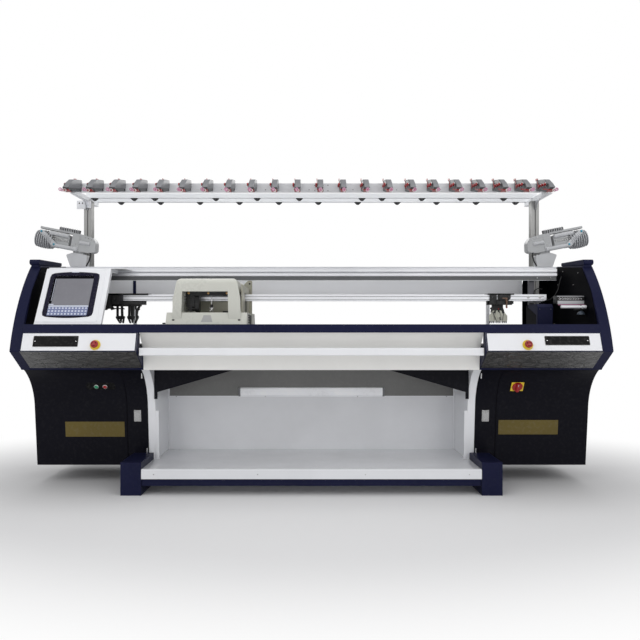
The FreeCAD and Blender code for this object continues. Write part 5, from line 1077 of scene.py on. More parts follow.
@dataclass
class Carriage:
    """Carriage with its cast bow, cam covers, bridge and brackets."""

    centre: float = -600.0
    bow_half: float = 196.5
    foot: float = 984.0
    deck: float = 1023.0
    roof: float = 1220.0
    gap_centre: float = BED_GAP

    def _loose(self, name: str, axis: str, low: float, high: float, outline: Outline) -> bpy.types.Object:
        """Return a plain prism in the scene, for a boolean."""
        piece = Piece(name, Finishes.BOW_CREAM)
        piece.prism(axis, low, high, outline)
        return piece.done("carriage", bevel=0)

    def build_bow(self) -> None:
        """Cut the bow from its side arch and its front portal, and round every edge as the moulding is."""
        far, foot, deck, roof = 2 * self.gap_centre, self.foot, self.deck, self.roof
        arch = rounded([(166.3, foot), (182, roof), (far - 182, roof), (far - 166.3, foot),
                        (far - 185, foot), (far - 185, deck), (614, deck), (614, 1150), (246, 1150),
                        (246, deck), (185, deck), (185, foot)], 34, 6, {1, 2})
        half = self.bow_half
        c = self.centre
        portal = [(c - half, foot), (c - half + 6, 1110), (c - half + 26, roof), (c + half - 26, roof),
                  (c + half - 6, 1110), (c + half, foot), (c + half - 71, foot), (c + half - 76, 1144),
                  (c - half + 56, 1144), (c - half + 52, foot)]
        portal = rounded(portal, 30, 5, {2, 3})
        bow = self._loose("carriage_bow_moulding", "x", c - half, c + half, arch)
        cutter = self._loose("portal", "y", 125, far - 125, portal)
        bow = solid_between(bow, cutter, "INTERSECT")
        round_edges(bow, 9, 4, 40)
        bow.data.shade_smooth()
        bow.data.set_sharp_from_angle(angle=math.radians(35))
        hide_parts("carriage_bow")

    def _slope(self, x: float, along: float) -> Matrix:
        """Frame of the front cam cover's slope, a distance up it from its lower edge."""
        lean = math.degrees(math.atan2(35, 71))
        step = Matrix.Translation((0, 0, along))
        return lean_frame(x, 150, 952, lean) @ step

    def build_covers(self) -> None:
        """Add the cover seams, the bare grey badge field, end blocks of the cam covers and black marks
        painted as the shadow at the bow's feet.
        """
        trim = Piece("cam_cover_trim", Finishes.DECAL_GREY).at(self._slope(self.centre + 3, 0))
        trim.prism("y", -0.8, 0.4, [(-33, 18), (33, 18), (20, 62), (-20, 62)])
        trim.use(Finishes.BLACK)
        # painted shadow: small black marks at the feet of the bow's legs for the dark gaps there
        for sign in (-1, 1):
            trim.at(self._slope(self.centre + sign * 188, 33))
            trim.prism("y", -2.5, 0.4, rounded(rect(-7, 7, -6, 2), 2, 2))
        trim.at()
        for sign in (-1, 1):
            x = self.centre + sign * 231
            trim.block((x - 5, x + 5), (330, 400), (957, 1010), 4)
        for x in (-846, -872, -896):
            trim.block((x - 9, x + 9), (398, 420), (957, 966 + (x + 896) * 0.1), 3)
        trim.done("carriage", bevel=1.0)

    def build_bridge(self) -> None:
        """Hang the black bridge with its solenoid block, brass studs and centre stopper in the window."""
        c = self.centre
        bridge = Piece("carriage_bridge", Finishes.BLACK)
        bridge.block((c - 138, c + 120), (262, 366), (1124, 1149), 3)
        bridge.block((c - 136, c - 84), (266, 366), (1060, 1126), 6)
        bridge.block((c - 128, c - 98), (270, 360), (1034, 1062), 5)
        for z in (1048, 1062, 1076, 1104, 1118):
            bridge.block((c - 137, c - 82), (263, 365), (z - 3, z + 3), 2)
        bridge.prism("x", c - 84, c - 60, rounded([(270, 1122), (270, 1040), (300, 1024), (330, 1040),
                                                   (330, 1122)], 10, 3))
        bridge.block((c + 78, c + 120), (276, 352), (1024, 1034), 2)
        bridge.use(Finishes.BRASS)
        for x in (c - 119, c - 4, c + 105):
            bridge.on(x, 262, 1138)
            bridge.turned([(7.5, 0.5), (7.5, -2), (6, -5), (3, -6.5), (0.1, -6.5)], 8, "y")
        bridge.at()
        bridge.use(Finishes.CHROME)
        bridge.pipe((c + 5, 330, 1124), (c + 5, 330, 1050), 2.4)
        for sign in (-1, 1):
            bridge.pipe((c + 5 - 11 * sign, 328, 1034), (c + 5 + 11 * sign, 328, 1056), 2.6)
        bridge.use(Finishes.BLACK)
        bridge.block((c - 2, c + 12), (322, 340), (1056, 1074), 3)
        bridge.done("carriage", bevel=0.8)

    def build_brackets(self) -> None:
        """Add the plated back plate, a dark olive plate painted as the shade on the bow's cream rear wall,
        the tall bracket beside the bow and the small stops at its foot.
        """
        c = self.centre
        plates = Piece("carriage_brackets", Finishes.GREENISH)
        plates.prism("y", 566, 570, rounded(rect(c - 126, c + 126, 1023.5, 1112), 8, 3))
        # painted shade: the dark olive plate at depth 600 stands for the bow's cream rear wall in shade
        plates.prism("y", 600, 606, rounded(rect(c - 126, c + 126, 1022, 1148), 3))
        tall = [(c + 158, 1023), (c + 212, 1023), (c + 212, 1243), (c + 186, 1243), (c + 158, 1216)]
        plates.prism("y", 700, 705, rounded(tall, 8, 3))
        plates.block((c + 200, c + 212), (600, 705), (1024, 1046))
        plates.use(Finishes.BLACK)
        for x, z in ((c + 172, 1186), (c + 196, 1222), (c + 172, 1120), (c + 198, 1080)):
            plates.on(x, 700, z)
            plates.turned([(6, 0.2), (6, -0.6), (0.1, -0.6)], 16, "y")
        plates.at()
        plates.use(Finishes.STEEL)
        for x in (c - 108, c - 36, c + 36, c + 108):
            plates.screw(x, 600, 1128, 5)
            plates.screw(x, 566, 1098, 4)
        plates.use(Finishes.BLACK)
        for z in (962, 976, 990, 1004):
            plates.block((c + 204, c + 232), (250, 330), (z, z + 9), 3)
        plates.block((c + 198, c + 212), (240, 340), (958, 1022), 4)
        plates.use(Finishes.CHROME)
        for y in (262, 318):
            plates.pipe((c + 218, y, 958), (c + 218, y, 1018), 3.5)
        plates.done("carriage", bevel=0.8)

        sides = Piece("carriage_sides_dressed", Finishes.BOW_CREAM)
        for low, shoulder, finish in ((c - 201, 1110, Finishes.BOW_CREAM),
                                      (c + 196, 1186, Finishes.GREENISH)):
            sides.use(finish).prism("x", low, low + 5,
                                    [(205, 1023), (205, shoulder), (330, 1186), (530, 1186),
                                     (655, shoulder), (655, 1023), (505, 1023), (505, 1144), (355, 1144),
                                     (355, 1023)])
        sides.block((c + 196, c + 214), (641, 655), (1023, 1186))
        sides.done("carriage", bevel=0.8, replaces=["carriage_side_plates"])

    def build(self) -> None:
        """Build the whole carriage."""
        self.build_bow()
        self.build_covers()
        self.build_bridge()
        self.build_brackets()


# (across, up) outlines and thicknesses of the claw plates of each carrier
LEFT_CLAWS = (
    (rect(-1192, -1179, 1078, 1006), 12),
    ([(-1166, 1078), (-1153, 1078), (-1150, 1004), (-1164, 1004)], 12),
    ([(-1196, 1001), (-1190, 1008), (-1146, 1008), (-1140, 1001), (-1146, 987), (-1190, 987)], 20),
    ([(-1193, 992), (-1178, 990), (-1166, 964), (-1168, 962), (-1174, 963)], 13),
    ([(-1169, 990), (-1158, 990), (-1161, 966), (-1167, 966)], 9),
    ([(-1152, 990), (-1143, 994), (-1147, 964), (-1154, 962), (-1157, 968)], 13),
    ([(-1224, 1056), (-1146, 1056), (-1142, 1046), (-1152, 1049), (-1198, 1050), (-1214, 1045)], 14),
    ([(-1236, 1078), (-1224, 1078), (-1202, 1050), (-1212, 1045)], 12),
    ([(-1120, 1078), (-1108, 1078), (-1108, 1004), (-1121, 1004)], 12),
    ([(-1106, 1078), (-1084, 1078), (-1086, 1004), (-1104, 1004)], 12),
    ([(-1127, 1002), (-1120, 1009), (-1084, 1009), (-1080, 1001), (-1084, 986), (-1120, 986)], 20),
    ([(-1123, 992), (-1110, 990), (-1103, 964), (-1106, 962), (-1111, 963)], 13),
    ([(-1104, 990), (-1087, 990), (-1091, 966), (-1094, 962), (-1098, 966)], 11),
    ([(-1081, 1078), (-1070, 1078), (-1071, 1046), (-1080, 1046)], 10),
    ([(-1050, 1078), (-1040, 1078), (-1060, 1034), (-1062, 1012), (-1073, 1010), (-1073, 1044)], 14),
    ([(-1073, 1012), (-1060, 1012), (-1055, 1000), (-1072, 963), (-1078, 962), (-1080, 968),
      (-1072, 990)], 14),
)
RIGHT_CLAWS = (
    ([(1120, 1078), (1152, 1078), (1156, 1064), (1116, 1064)], 30),
    ([(1106, 1067), (1162, 1067), (1170, 1048), (1176, 1026), (1160, 1020), (1136, 1032), (1112, 1022),
      (1098, 1028), (1102, 1050)], 36),
)


@dataclass
class YarnCarriers:
    """The two yarn carriers on the middle rail."""

    rail_low: float = 1099.0
    cheek_gap: float = 57.0
    lip: tuple[float, float] = (1138.5, 1142.3)
    gap_centre: float = BED_GAP

    def _channel(self, piece: Piece, low: float, high: float) -> None:
        """Wrap the slider under and beside the middle rail, clear of it."""
        inner, outer, c = 6.6, 12.2, self.gap_centre
        section = [(c - outer, self.rail_low - 24), (c + outer, self.rail_low - 24),
                   (c + outer, self.rail_low + 39), (c + inner, self.rail_low + 39),
                   (c + inner, self.rail_low - 0.5), (c - inner, self.rail_low - 0.5),
                   (c - inner, self.rail_low + 39), (c - outer, self.rail_low + 39)]
        piece.prism("x", low, high, section)

    def _claw(self, piece: Piece, outline: Outline, thick: float) -> None:
        """Add one flat claw plate of an arm, its corners rounded."""
        c = self.gap_centre
        piece.prism("y", c - thick / 2, c + thick / 2, rounded(outline, 4, 3))

    def build_left(self) -> None:
        """Build the left carrier: slider, bar, two claw-shaped arms, and the front plate with its hooks; the
        plate and its dark-steel tail are painted shadow and dark reflection on the front rail.
        """
        c = self.gap_centre
        front = c - self.cheek_gap
        left = Piece("yarn_carrier_left_cluster", Finishes.BLACK)
        self._channel(left, -1263, -1012)
        left.prism("z", *self.lip, rounded([(-1263, 402.5), (-1010, 402.5), (-984, 418), (-977, 430),
                                            (-984, 442), (-1050, 457.5), (-1263, 457.5)], 6, 3))
        left.block((-1262, -1014), (c - 24.5, c + 24.5), (1076, 1097.3), 4)
        left.block((-1240, -1040), (c - 16, c + 16), (1066, 1078), 5)
        for outline, thick in LEFT_CLAWS:
            self._claw(left, outline, thick)
        left.use(Finishes.CHROME)
        for x in (-1171, -1150, -1108, -1076):
            left.pipe((x, c, 990), (x + 1, c, 961.3), 1.6, 8)
        left.done("left_yarn_carrier", bevel=0.6, replaces=["yarn_carrier_left"])

        cheek = Piece("yarn_carrier_left_shade_plate_and_hooks", Finishes.BLACK)
        # painted shadow: this black plate and its dark-steel tail stand for the shadow and dark reflection
        # on the front rail beside the panel
        cheek.block((-1262, -1158), (front, front + 7.2), (1076, 1142.2), 5)
        cheek.use(Finishes.DARK_STEEL).block((-1158, -1136), (front + 3, front + 7.2), (1098, 1139))
        cheek.use(Finishes.BLACK)
        roof = [(-1262, front), (-1040, front), (-1012, 403), (-1262, 403)]
        cheek.prism("z", *self.lip, rounded(roof, 5, 3))
        cheek.block((-1262, -984), (front, front + 2.5), (1131, 1142.3), 1)
        cheek.block((-1262, -1014), (front + 0.5, c - 24.5), (1076, 1096), 4)
        for x in (-1256, -1241):
            cheek.tube([(x, front + 6, 1082), (x, front + 7, 1062), (x + 1, front + 6, 1044)], 5, 10)
            cheek.block((x - 8, x + 9), (front + 1, front + 12), (1042, 1049), 3)
        for x, lean in ((-1211, 5), (-1038, -4)):
            hook = [(x, front + 8, 1078), (x + 1, front + 7, 1062), (x + lean, front + 8, 1052)]
            cheek.tube(hook, 4.4)
            cheek.bead(x + lean, front + 8, 1048, ((0.2, -7), (4.8, -5.6), (7, 0), (4.8, 5.6), (0.2, 7)))
        cheek.use(Finishes.DARK_STEEL)
        for x in (-1240, -1190):
            cheek.screw(x, front, 1108, 4)
        cheek.done("left_yarn_carrier", bevel=0.6)

    def build_right(self) -> None:
        """Build the right carrier: slider, block, a fan of thin steel leaves, cheek and brown lever."""
        c = self.gap_centre
        front = c - self.cheek_gap
        right = Piece("yarn_carrier_right_fan", Finishes.BLACK)
        self._channel(right, 1072, 1223)
        right.prism("z", *self.lip, rounded([(1058, 424), (1120, 402.5), (1223, 402.5), (1223, 457.5),
                                             (1120, 457.5), (1058, 436)], 5, 3))
        right.block((1082, 1221), (c - 24.5, c + 24.5), (1076, 1097.3), 4)
        right.block((1104, 1168), (414, 446), (1055.5, 1077), 5)
        for outline, thick in RIGHT_CLAWS:
            self._claw(right, outline, thick)
        right.tube([(1100, c - 20, 1062), (1094, c - 22, 1056)], 2.4, 8)
        right.bead(1091, c - 22, 1053, ((0.2, -6), (4.2, -4.8), (6, 0), (4.2, 4.8), (0.2, 6)))
        right.use(Finishes.RED)
        right.bead(1137, c - 23, 1050, ((0.2, -4), (3.4, -3), (4.4, 0), (3.4, 3), (0.2, 4)), 10)
        for k in range(9):
            spread = (k - 4) * 12.4
            x, foot, y = 1136 + spread * 0.55, 1136 + spread, c - 19 + (k % 3) * 2.6
            leaf = ((x, 5.6, 1040), (foot, 7.4, 1008), (foot + 1, 7, 986), (foot, 5.4, 974),
                    (foot, 2.4, 962.5))
            for finish, rings in ((Finishes.LEAF_STEEL, leaf[:4]), (Finishes.BLACK, leaf[3:])):
                right.use(finish)
                right.skin([[(at - half, y, z), (at + half, y, z), (at + half, y + 1.3, z),
                             (at - half, y + 1.3, z)] for at, half, z in rings])
        right.use(Finishes.CHROME)
        right.pipe((1145, c - 22, 1000), (1152, c - 21, 984), 3, 10)
        right.use(Finishes.DARK_STEEL)
        right.prism("y", c - 13, c - 11, [(1086, 1004), (1188, 1004), (1190, 980), (1084, 980)])
        right.pipe((1100, c - 21, 1034), (1126, c - 21, 978), 1.5, 8)
        right.pipe((1172, c - 21, 1034), (1160, c - 21, 978), 1.5, 8)
        right.done("right_yarn_carrier", bevel=0.5, replaces=["yarn_carrier_right"])

        cheek = Piece("yarn_carrier_right_cheek", Finishes.BLACK)
        for outline in (rect(1076, 1117, 1076, 1142),
                        [(1125, 1098), (1190, 1098), (1201, 1112), (1201, 1142), (1125, 1142)],
                        [(1112, 1076), (1160, 1074), (1164, 1104), (1112, 1104)]):
            cheek.prism("y", front, front + 7.2, rounded(outline, 8, 3))
        for low, high in ((1080, 1112), (1130, 1196)):
            cheek.prism("y", front - 2.5, front + 1, rounded(rect(low, high, 1110, 1136), 7, 3))
        roof = [(1090, 403), (1118, front), (1222, front), (1222, 403)]
        cheek.prism("z", 1138.5, 1142.2, rounded(roof, 5, 3))
        cheek.block((1062, 1222), (front, front + 2.5), (1134, 1142.2), 1)
        cheek.block((1082, 1221), (front + 8, c - 24.5), (1080, 1096), 4)
        cheek.use(Finishes.BROWN)
        cheek.block((1150, 1182), (front - 3, front + 2), (1110, 1117), 2)
        cheek.tube([(1172, front - 1, 1112), (1176, front - 1, 1096), (1176, front + 2, 1058)], 5.4, 10)
        cheek.use(Finishes.RED)
        cheek.bead(1177, front + 2, 1058, ((0.2, -5), (4, -4), (5.8, 0), (4, 4), (0.2, 5)))
        cheek.use(Finishes.DARK_STEEL)
        for x in (1090, 1190):
            cheek.screw(x, front - 2, 1120, 4)
        cheek.done("right_yarn_carrier", bevel=0.5)

    def build(self) -> None:
        """Build both carriers."""
        self.build_left()
        self.build_right()


# ---- yarn frame, tension units and storage feeders

@dataclass
class TensionUnits:
    """Row of yarn tension units that nod forwards from the plate of the yarn frame."""

    count: int = 22
    pitch: float = 138.0
    shift: float = 15.0
    front: float = 318.0
    rear: float = 555.0
    low: float = 1797.0
    high: float = 1864.0
    chin: float = 1757.0
    half: float = 17.0
    ring_depth: float = 250.5
    ring_height: float = 1744.0

    def offsets(self) -> list[Point]:
        """Return the steps from the first unit to every other one."""
        return [(index * self.pitch, 0, 0) for index in range(1, self.count)]

    @property
    def first(self) -> float:
        """Where the first unit stands."""
        return -(self.count - 1) * self.pitch / 2 - self.shift

    def build_covers(self) -> None:
        """Mould every grey cover with its sloping nose, its dark side plate, base and clamp foot."""
        x, half, nose = self.first, self.half, self.front
        cover = Piece("tension_covers", Finishes.COVER_GREY)
        side = [(nose + 3, 1772), (nose + 46, 1806), (nose + 104, 1841), (self.rear - 8, self.high),
                (self.rear, self.high - 7), (self.rear, 1814), (nose + 90, 1783), (nose + 12, 1769)]
        cover.prism("x", x - half + 4, x + half, rounded(side, 9, 4, {0, 1, 2, 3, 4}))
        cover.use(Finishes.PLATE_GREY)
        plate = [(nose + 1, 1770), (nose + 45, 1804.5), (nose + 104, 1839.5),
                 (self.rear - 4, self.high - 2), (self.rear, self.low + 2), (nose + 84, self.chin + 1),
                 (nose + 18, self.chin + 1)]
        cover.prism("x", x - half, x - half + 4, rounded(plate, 6, 3, {0, 1, 3, 5, 6}))
        cover.prism("x", x - half + 4, x + half - 3, [(nose + 14, 1771), (nose + 20, self.chin + 2),
                                                      (nose + 82, self.chin + 2), (self.rear, self.low + 2),
                                                      (self.rear, 1816), (nose + 92, 1785)])
        cover.use(Finishes.BLACK)
        cover.block((x - half - 0.7, x - half + 1), (nose + 26, nose + 40), (1776, 1800), 4)
        cover.block((x - 4, x + half - 1), (nose + 48, nose + 80), (self.chin, self.chin + 12), 4)
        cover.use(Finishes.STEEL)
        cover.block((x - 14, x + 14), (self.rear - 30, self.rear), (self.low - 2, self.low + 8), 3)
        for depth, height in ((nose + 190, 1838), (nose + 214, 1816)):
            cover.screw(x - half, depth, height, 3.4, "-x")
        cover.repeat(self.offsets())
        cover.done("machine", bevel=1.2, replaces=["tension_unit_bodies"])

    def build_controls(self) -> None:
        """Add every unit's red knobs with their chrome discs, its levers, tab and ceramic discs."""
        x, half, nose = self.first, self.half, self.front
        side = x - half
        controls = Piece("tension_controls_red", Finishes.RED)
        for index in range(3):
            controls.use(Finishes.CHROME)
            controls.on(side, nose + 66 + 44 * index, 1802 + 5 * index)
            controls.turned([(4, 0), (10.6, -1.2), (4, -2.2), (10.6, -3.6), (3, -4.4)], 18, "x")
            controls.use(Finishes.RED)
            rim = [polar(radius, math.tau * k / 16) for k, radius in enumerate([9.4, 8.6] * 8)]
            controls.skin([[(out, u * f, v * f) for u, v in rim]
                           for out, f in ((-4, 1), (-12, 1), (-14, 0.8))])
        controls.at()
        rear = self.rear
        tab = [(rear - 40, 1859), (rear, 1858), (rear, 1873), (rear - 8, 1874), (rear - 38, 1868)]
        lever = [(rear - 34, 1852), (rear - 28, 1852), (rear - 40, 1803), (rear - 46, 1803)]
        arm = [(nose + 6, 1762), (nose + 70, 1776), (nose + 104, 1786), (nose + 104, 1778),
               (nose + 66, 1766), (nose + 8, 1754)]
        sill = [(nose + 12, 1762), (nose + 62, 1756), (nose + 62, 1753), (nose + 8, 1755)]
        for low, high, outline, radius in ((side - 5, side - 1, tab, 3), (side - 3.4, side - 0.2, lever, 2),
                                           (side - 3.6, side - 0.2, arm, 2),
                                           (side - 1, x + half - 1, sill, 2)):
            controls.prism("x", low, high, rounded(outline, radius, 2))
        controls.use(Finishes.CERAMIC)
        for depth in (nose + 132, nose + 160):
            controls.on(x + half - 6, depth, self.chin + 12 + (depth - nose - 80) * 0.28)
            controls.turned([(3, -8), (13, -6), (13, -4.6), (6, -3.4), (6, -1), (13, 0.2), (13, 1.6),
                             (3, 3)], 18, "x")
        controls.at()
        controls.repeat(self.offsets())
        controls.done("machine", bevel=0.7, replaces=["tension_controls"])

    def build_rings(self) -> None:
        """Bend every unit's guide wires with a pink and a white ceramic ring at their ends."""
        x = self.first
        rings = Piece("tension_ring_guides", Finishes.PINK)
        for across, depth, height, finish in ((-2, self.ring_depth, self.ring_height, Finishes.PINK),
                                              (2, 304, 1749, Finishes.CERAMIC)):
            place = Matrix.Translation((x + across, depth, height))
            rings.use(finish).at(place @ Matrix.Rotation(math.radians(8), 4, "Z"))
            loop = []
            for k in range(18):
                angle = math.tau * k / 18
                loop.append([((8.4 + r) * math.cos(angle), v, (8.4 + r) * math.sin(angle))
                             for r, v in circle(2.3, 8)])
            loop.append(loop[0])
            rings.skin(loop, capped=False)
        rings.use(Finishes.CHROME).at()
        rings.tube([(x + 8, self.ring_depth, self.ring_height + 2), (x + 10, self.ring_depth + 20, 1748),
                    (x + 10, 300, 1757), (x + 8, self.front + 12, 1764)], 1.6, 6)
        rings.tube([(x + 2, 304, 1757), (x + 3, 316, 1763), (x + 3, self.front + 12, 1766)], 1.5, 6)
        rings.use(Finishes.PINK)
        rings.tube([(x - 2 + 6.4 * math.cos(k * 0.9), 254 + k * 1.4,
                     self.ring_height + 6.4 * math.sin(k * 0.9)) for k in range(22)], 1.2, 6)
        rings.repeat(self.offsets())
        rings.done("machine", bevel=0, replaces=["tension_rings"])

    def build(self) -> None:
        """Build every unit."""
        self.build_covers()
        self.build_controls()
        self.build_rings()


@dataclass
class YarnFrame:
    """Posts, bars and plate above the machine, with their caps, brackets and guides."""

    post_x: float = 1453.0
    post_depth: float = 700.0
    bar_bottom: float = 1760.0
    half: float = 1480.0
    middle_guides: tuple = (-0.9655, -0.79, -0.698, -0.426, -0.242, -0.054, 0.225, 0.314, 0.492, 0.666,
                            0.856)
    rear_guides: tuple = tuple(-0.875 + 0.1813 * index for index in range(11))

    def build_guides(self) -> None:
        """Mould the black thread guides under both bars, each with its ceramic eye."""
        guides = Piece("thread_guides", Finishes.BLACK)
        top = self.bar_bottom + 28
        for depth, places in ((737, self.middle_guides), (872, self.rear_guides)):
            for place in places:
                guides.on(place * self.half, depth, top)
                guides.use(Finishes.BLACK)
                guides.prism("y", -8.8, 8.8, rounded([(-22.8, 0), (22.8, 0), (21, -3.4), (6.4, -16.8),
                                                      (-6.4, -16.8), (-21, -3.4)], 3, 2, {2, 3, 4, 5}))
                guides.use(Finishes.DARK_STEEL)
                guides.on(place * self.half, depth, top - 8.5)
                guides.turned(rect(2.2, 4.2, -8.9, 8.9), 14, "y")
        guides.at()
        guides.done("machine", bevel=0.5, replaces=["thread_eyelets"])

    def build_fittings(self) -> None:
        """Add post caps, corner brackets, the drilled plate on the left post and the screws of the bars."""
        fittings = Piece("yarn_frame_fittings", Finishes.BLACK)
        low = self.bar_bottom
        fittings.block((self.post_x - 24.5, self.post_x + 24.5), (675.5, 724.5), (796, 800), 3)
        fittings.use(Finishes.ALUMINIUM)
        for sign in (-1, 1):
            fittings.prism("x", self.post_x - 3, self.post_x + 3, [
                (self.post_depth + sign * 25.2, low - 60), (self.post_depth + sign * 25.2, low),
                (self.post_depth + sign * 80, low), (self.post_depth + sign * 80, low - 8),
                (self.post_depth + sign * 34, low - 60)])
        fittings.use(Finishes.STEEL)
        for depth in (470, 565, 737, 872):
            fittings.screw(self.post_x + 13.5, depth, low, 5, "+z")
        for depth in (737, 872):
            for offset in (-6, 6):
                fittings.screw(self.post_x + 26.6, depth + offset, low + 14, 4, "+x")
        fittings.screw(self.post_x, 675, low - 30, 5)
        for z in (900, 1330, 1700):
            fittings.screw(self.post_x, 676, z, 4)
        fittings.mirror()
        fittings.use(Finishes.WHITE)
        fittings.block((-1521, -1464), (664, 669), (1705, 1759), 4)
        fittings.block((-1480, -1430), (669, 675), (1712, 1756), 3)
        fittings.use(Finishes.BLACK)
        for x in (-1504, -1484):
            fittings.on(x, 664, 1742)
            fittings.turned([(4.5, 0.2), (4.5, -0.4), (0.1, -0.4)], 14, "y")
        fittings.at().use(Finishes.STEEL)
        for x in (20, 50, 74, 104):
            for z in (1800, 1834):
                fittings.screw(x, 555, z, 3.5)
        for x in range(-1395, 1440, 276):
            fittings.screw(float(x), 555, 1806, 3.2)
        fittings.done("machine", bevel=0.6)

    def build(self) -> None:
        """Build the frame's details."""
        self.build_guides()
        self.build_fittings()


@dataclass
class StorageFeeder:
    """Yarn storage feeder on one end of the top beam, with its ribbed wheel."""

    sign: int = 1
    x: float = 1424.0
    depth: float = 443.0
    stand_low: float = 1308.0
    stand_high: float = 1377.0
    rise: float = 60.0
    lean: float = 11.0
    wheel_start: float = 154.5
    wheel_length: float = 108.0

    @property
    def side(self) -> str:
        """Name of the machine's end that it stands on."""
        return "right" if self.sign > 0 else "left"

    @property
    def body_frame(self) -> Matrix:
        """Frame of the leaning body: x out along its axis, y into the machine, z up from the axis."""
        pivot = Matrix.Translation((self.x, self.depth, self.stand_high + self.rise))
        return pivot @ Matrix.Rotation(-math.radians(self.lean), 4, "Y")

    def build_body(self) -> None:
        """Build the stand, gear case, cylinders, comb guard, link plate and the short cable."""
        body = Piece(f"storage_feeder_{self.side}_body", Finishes.LIGHT_GREY)
        x, y = self.x, self.depth
        body.prism("y", y - 28, y + 28, rounded([(x - 50, self.stand_low), (x + 46, self.stand_low),
                                                 (x + 72, self.stand_high + 4),
                                                 (x + 30, self.stand_high + 16), (x - 58, self.stand_high)],
                                                10, 4, {2, 3, 4}))
        body.use(Finishes.FEEDER_GREY)
        body.block((x - 30, x + 34), (y - 18, y + 18), (self.stand_high - 4, self.stand_high + 50), 6)
        body.at(self.body_frame)
        case = rounded([(-112, -14), (-104, 40), (-84, 62), (-20, 70), (40, 70), (40, -34), (-60, -36),
                        (-100, -26)], 12, 4)
        body.prism("y", -33, 33, case)
        for a, width, deep, low, high in ((-8, 30, 36, -38, 56), (56, 90, 30, -30, 52)):
            body.prism("y", -deep, deep, rounded(rect(a, a + width, low, high), 8, 3))
        body.block((130, 153), (-26, 26), (-38, 54), 8)
        body.block((40, 236), (-22, 20), (60, 66), 3)
        body.prism("x", 40, 244, [(-22, 60), (-26, 62), (-26, 74), (-23, 74), (-21, 64), (18, 64),
                                  (18, 60)])
        body.use(Finishes.LIGHT_GREY)
        for start, end, depth, up, radius in ((62, 176, -32, 44, 13), (0, 152, -33, -26, 14),
                                              (-70, -10, -32, 20, 12)):
            body.at(self.body_frame @ Matrix.Translation((0, depth, up)))
            body.turned([(radius * 0.6, start - 4), (radius, start), (radius, start + 18),
                         (radius * 0.92, start + 20), (radius * 0.92, end - 12), (radius, end - 10),
                         (radius, end), (radius * 0.7, end + 3)], 24, "x")
        body.at(self.body_frame)
        link = rounded([(126, -34), (150, -34), (238, 36), (238, 52), (216, 52), (126, -12)], 9, 4)
        body.prism("y", -43.5, -38, link)
        body.use(Finishes.SCREW_BLUE)
        body.screw(138, -43.5, -22, 6.5)
        body.screw(226, -43.5, 42, 6.5)
        body.use(Finishes.LIGHT_GREY)
        for k in range(11):
            a = 4 + k * 11
            body.skin([[(a + u, -30, 70 + v) for u, v in ((0, 0), (4, 0), (4, 4), (0, 4))],
                       [(a + 2 + u, -34, 88 + v) for u, v in ((0, 0), (4, 0), (4, 3), (0, 3))],
                       [(a + 5 + u, -24, 92 + v) for u, v in ((0, 0), (3, 0), (3, 3), (0, 3))]])
        body.use(Finishes.BLACK)
        body.block((-2, 130), (-24, -20), (66, 91), 3)
        body.use(Finishes.STEEL)
        for a in (-94, -76, -58, -40):
            body.screw(a, -33, 46 + (a + 94) * 0.16, 4)
        for a in (10, 60, 112, 140):
            body.screw(a, -36 if a < 30 else -30, 4, 3.5)
        body.tube([(60, -36, 22), (90, -42, 12), (130, -40, 26), (170, -38, 18)], 2.2)
        for k in range(8):
            body.block((66 + k * 13, 73 + k * 13), (-37, -29), (8, 16), 2)
        body.at().use(Finishes.BLACK)
        body.tube([(x - 62, y - 22, 1424), (x - 74, y - 26, 1404), (x - 78, y - 28, 1372),
                   (x - 68, y - 27, 1340), (x - 50, y - 24, 1311)], 4.5, 10)
        if self.sign < 0:
            body.mirror(keep=False)
        body.done("machine", bevel=1.2, replaces=[f"storage_feeder_{self.side}"])

    def build_wheel(self) -> None:
        """Build the storage wheel: a hub, eight thin ribbed discs and the rods that tie them."""
        wheel = Piece(f"storage_wheel_{self.side}_ribbed", Finishes.LIGHT_GREY)
        wheel.at(self.body_frame)
        start, end = self.wheel_start, self.wheel_start + self.wheel_length
        wheel.turned([(20, start), (27, start + 4), (24, start + 10), (22, end - 10), (28, end - 4),
                      (18, end), (0.1, end)], 32, "x")
        for k in range(8):
            a = start + 5 + k * 13.6
            crown = 55.5 - 0.45 * (k - 3.5) ** 2
            wheel.turned([(20, a + 1), (crown - 12, a), (crown - 1.5, a + 0.4), (crown, a + 2.4),
                          (crown - 1.5, a + 4.4), (crown - 12, a + 4.8), (20, a + 4)], 40, "x")
        wheel.use(Finishes.STEEL)
        for k in range(8):
            u, v = polar(41, math.tau * (k + 0.5) / 8)
            wheel.pipe((start + 3, u, v), (end - 6, u, v), 2.4, 8)
        if self.sign < 0:
            wheel.mirror(keep=False)
        wheel.done(f"{self.side}_wheel", bevel=0, replaces=[f"storage_wheel_{self.side}"], smooth=40)

    def build(self) -> None:
        """Build the feeder and its wheel."""
        self.build_body()
        self.build_wheel()


# ---- consoles, fabric bay, beds and beams

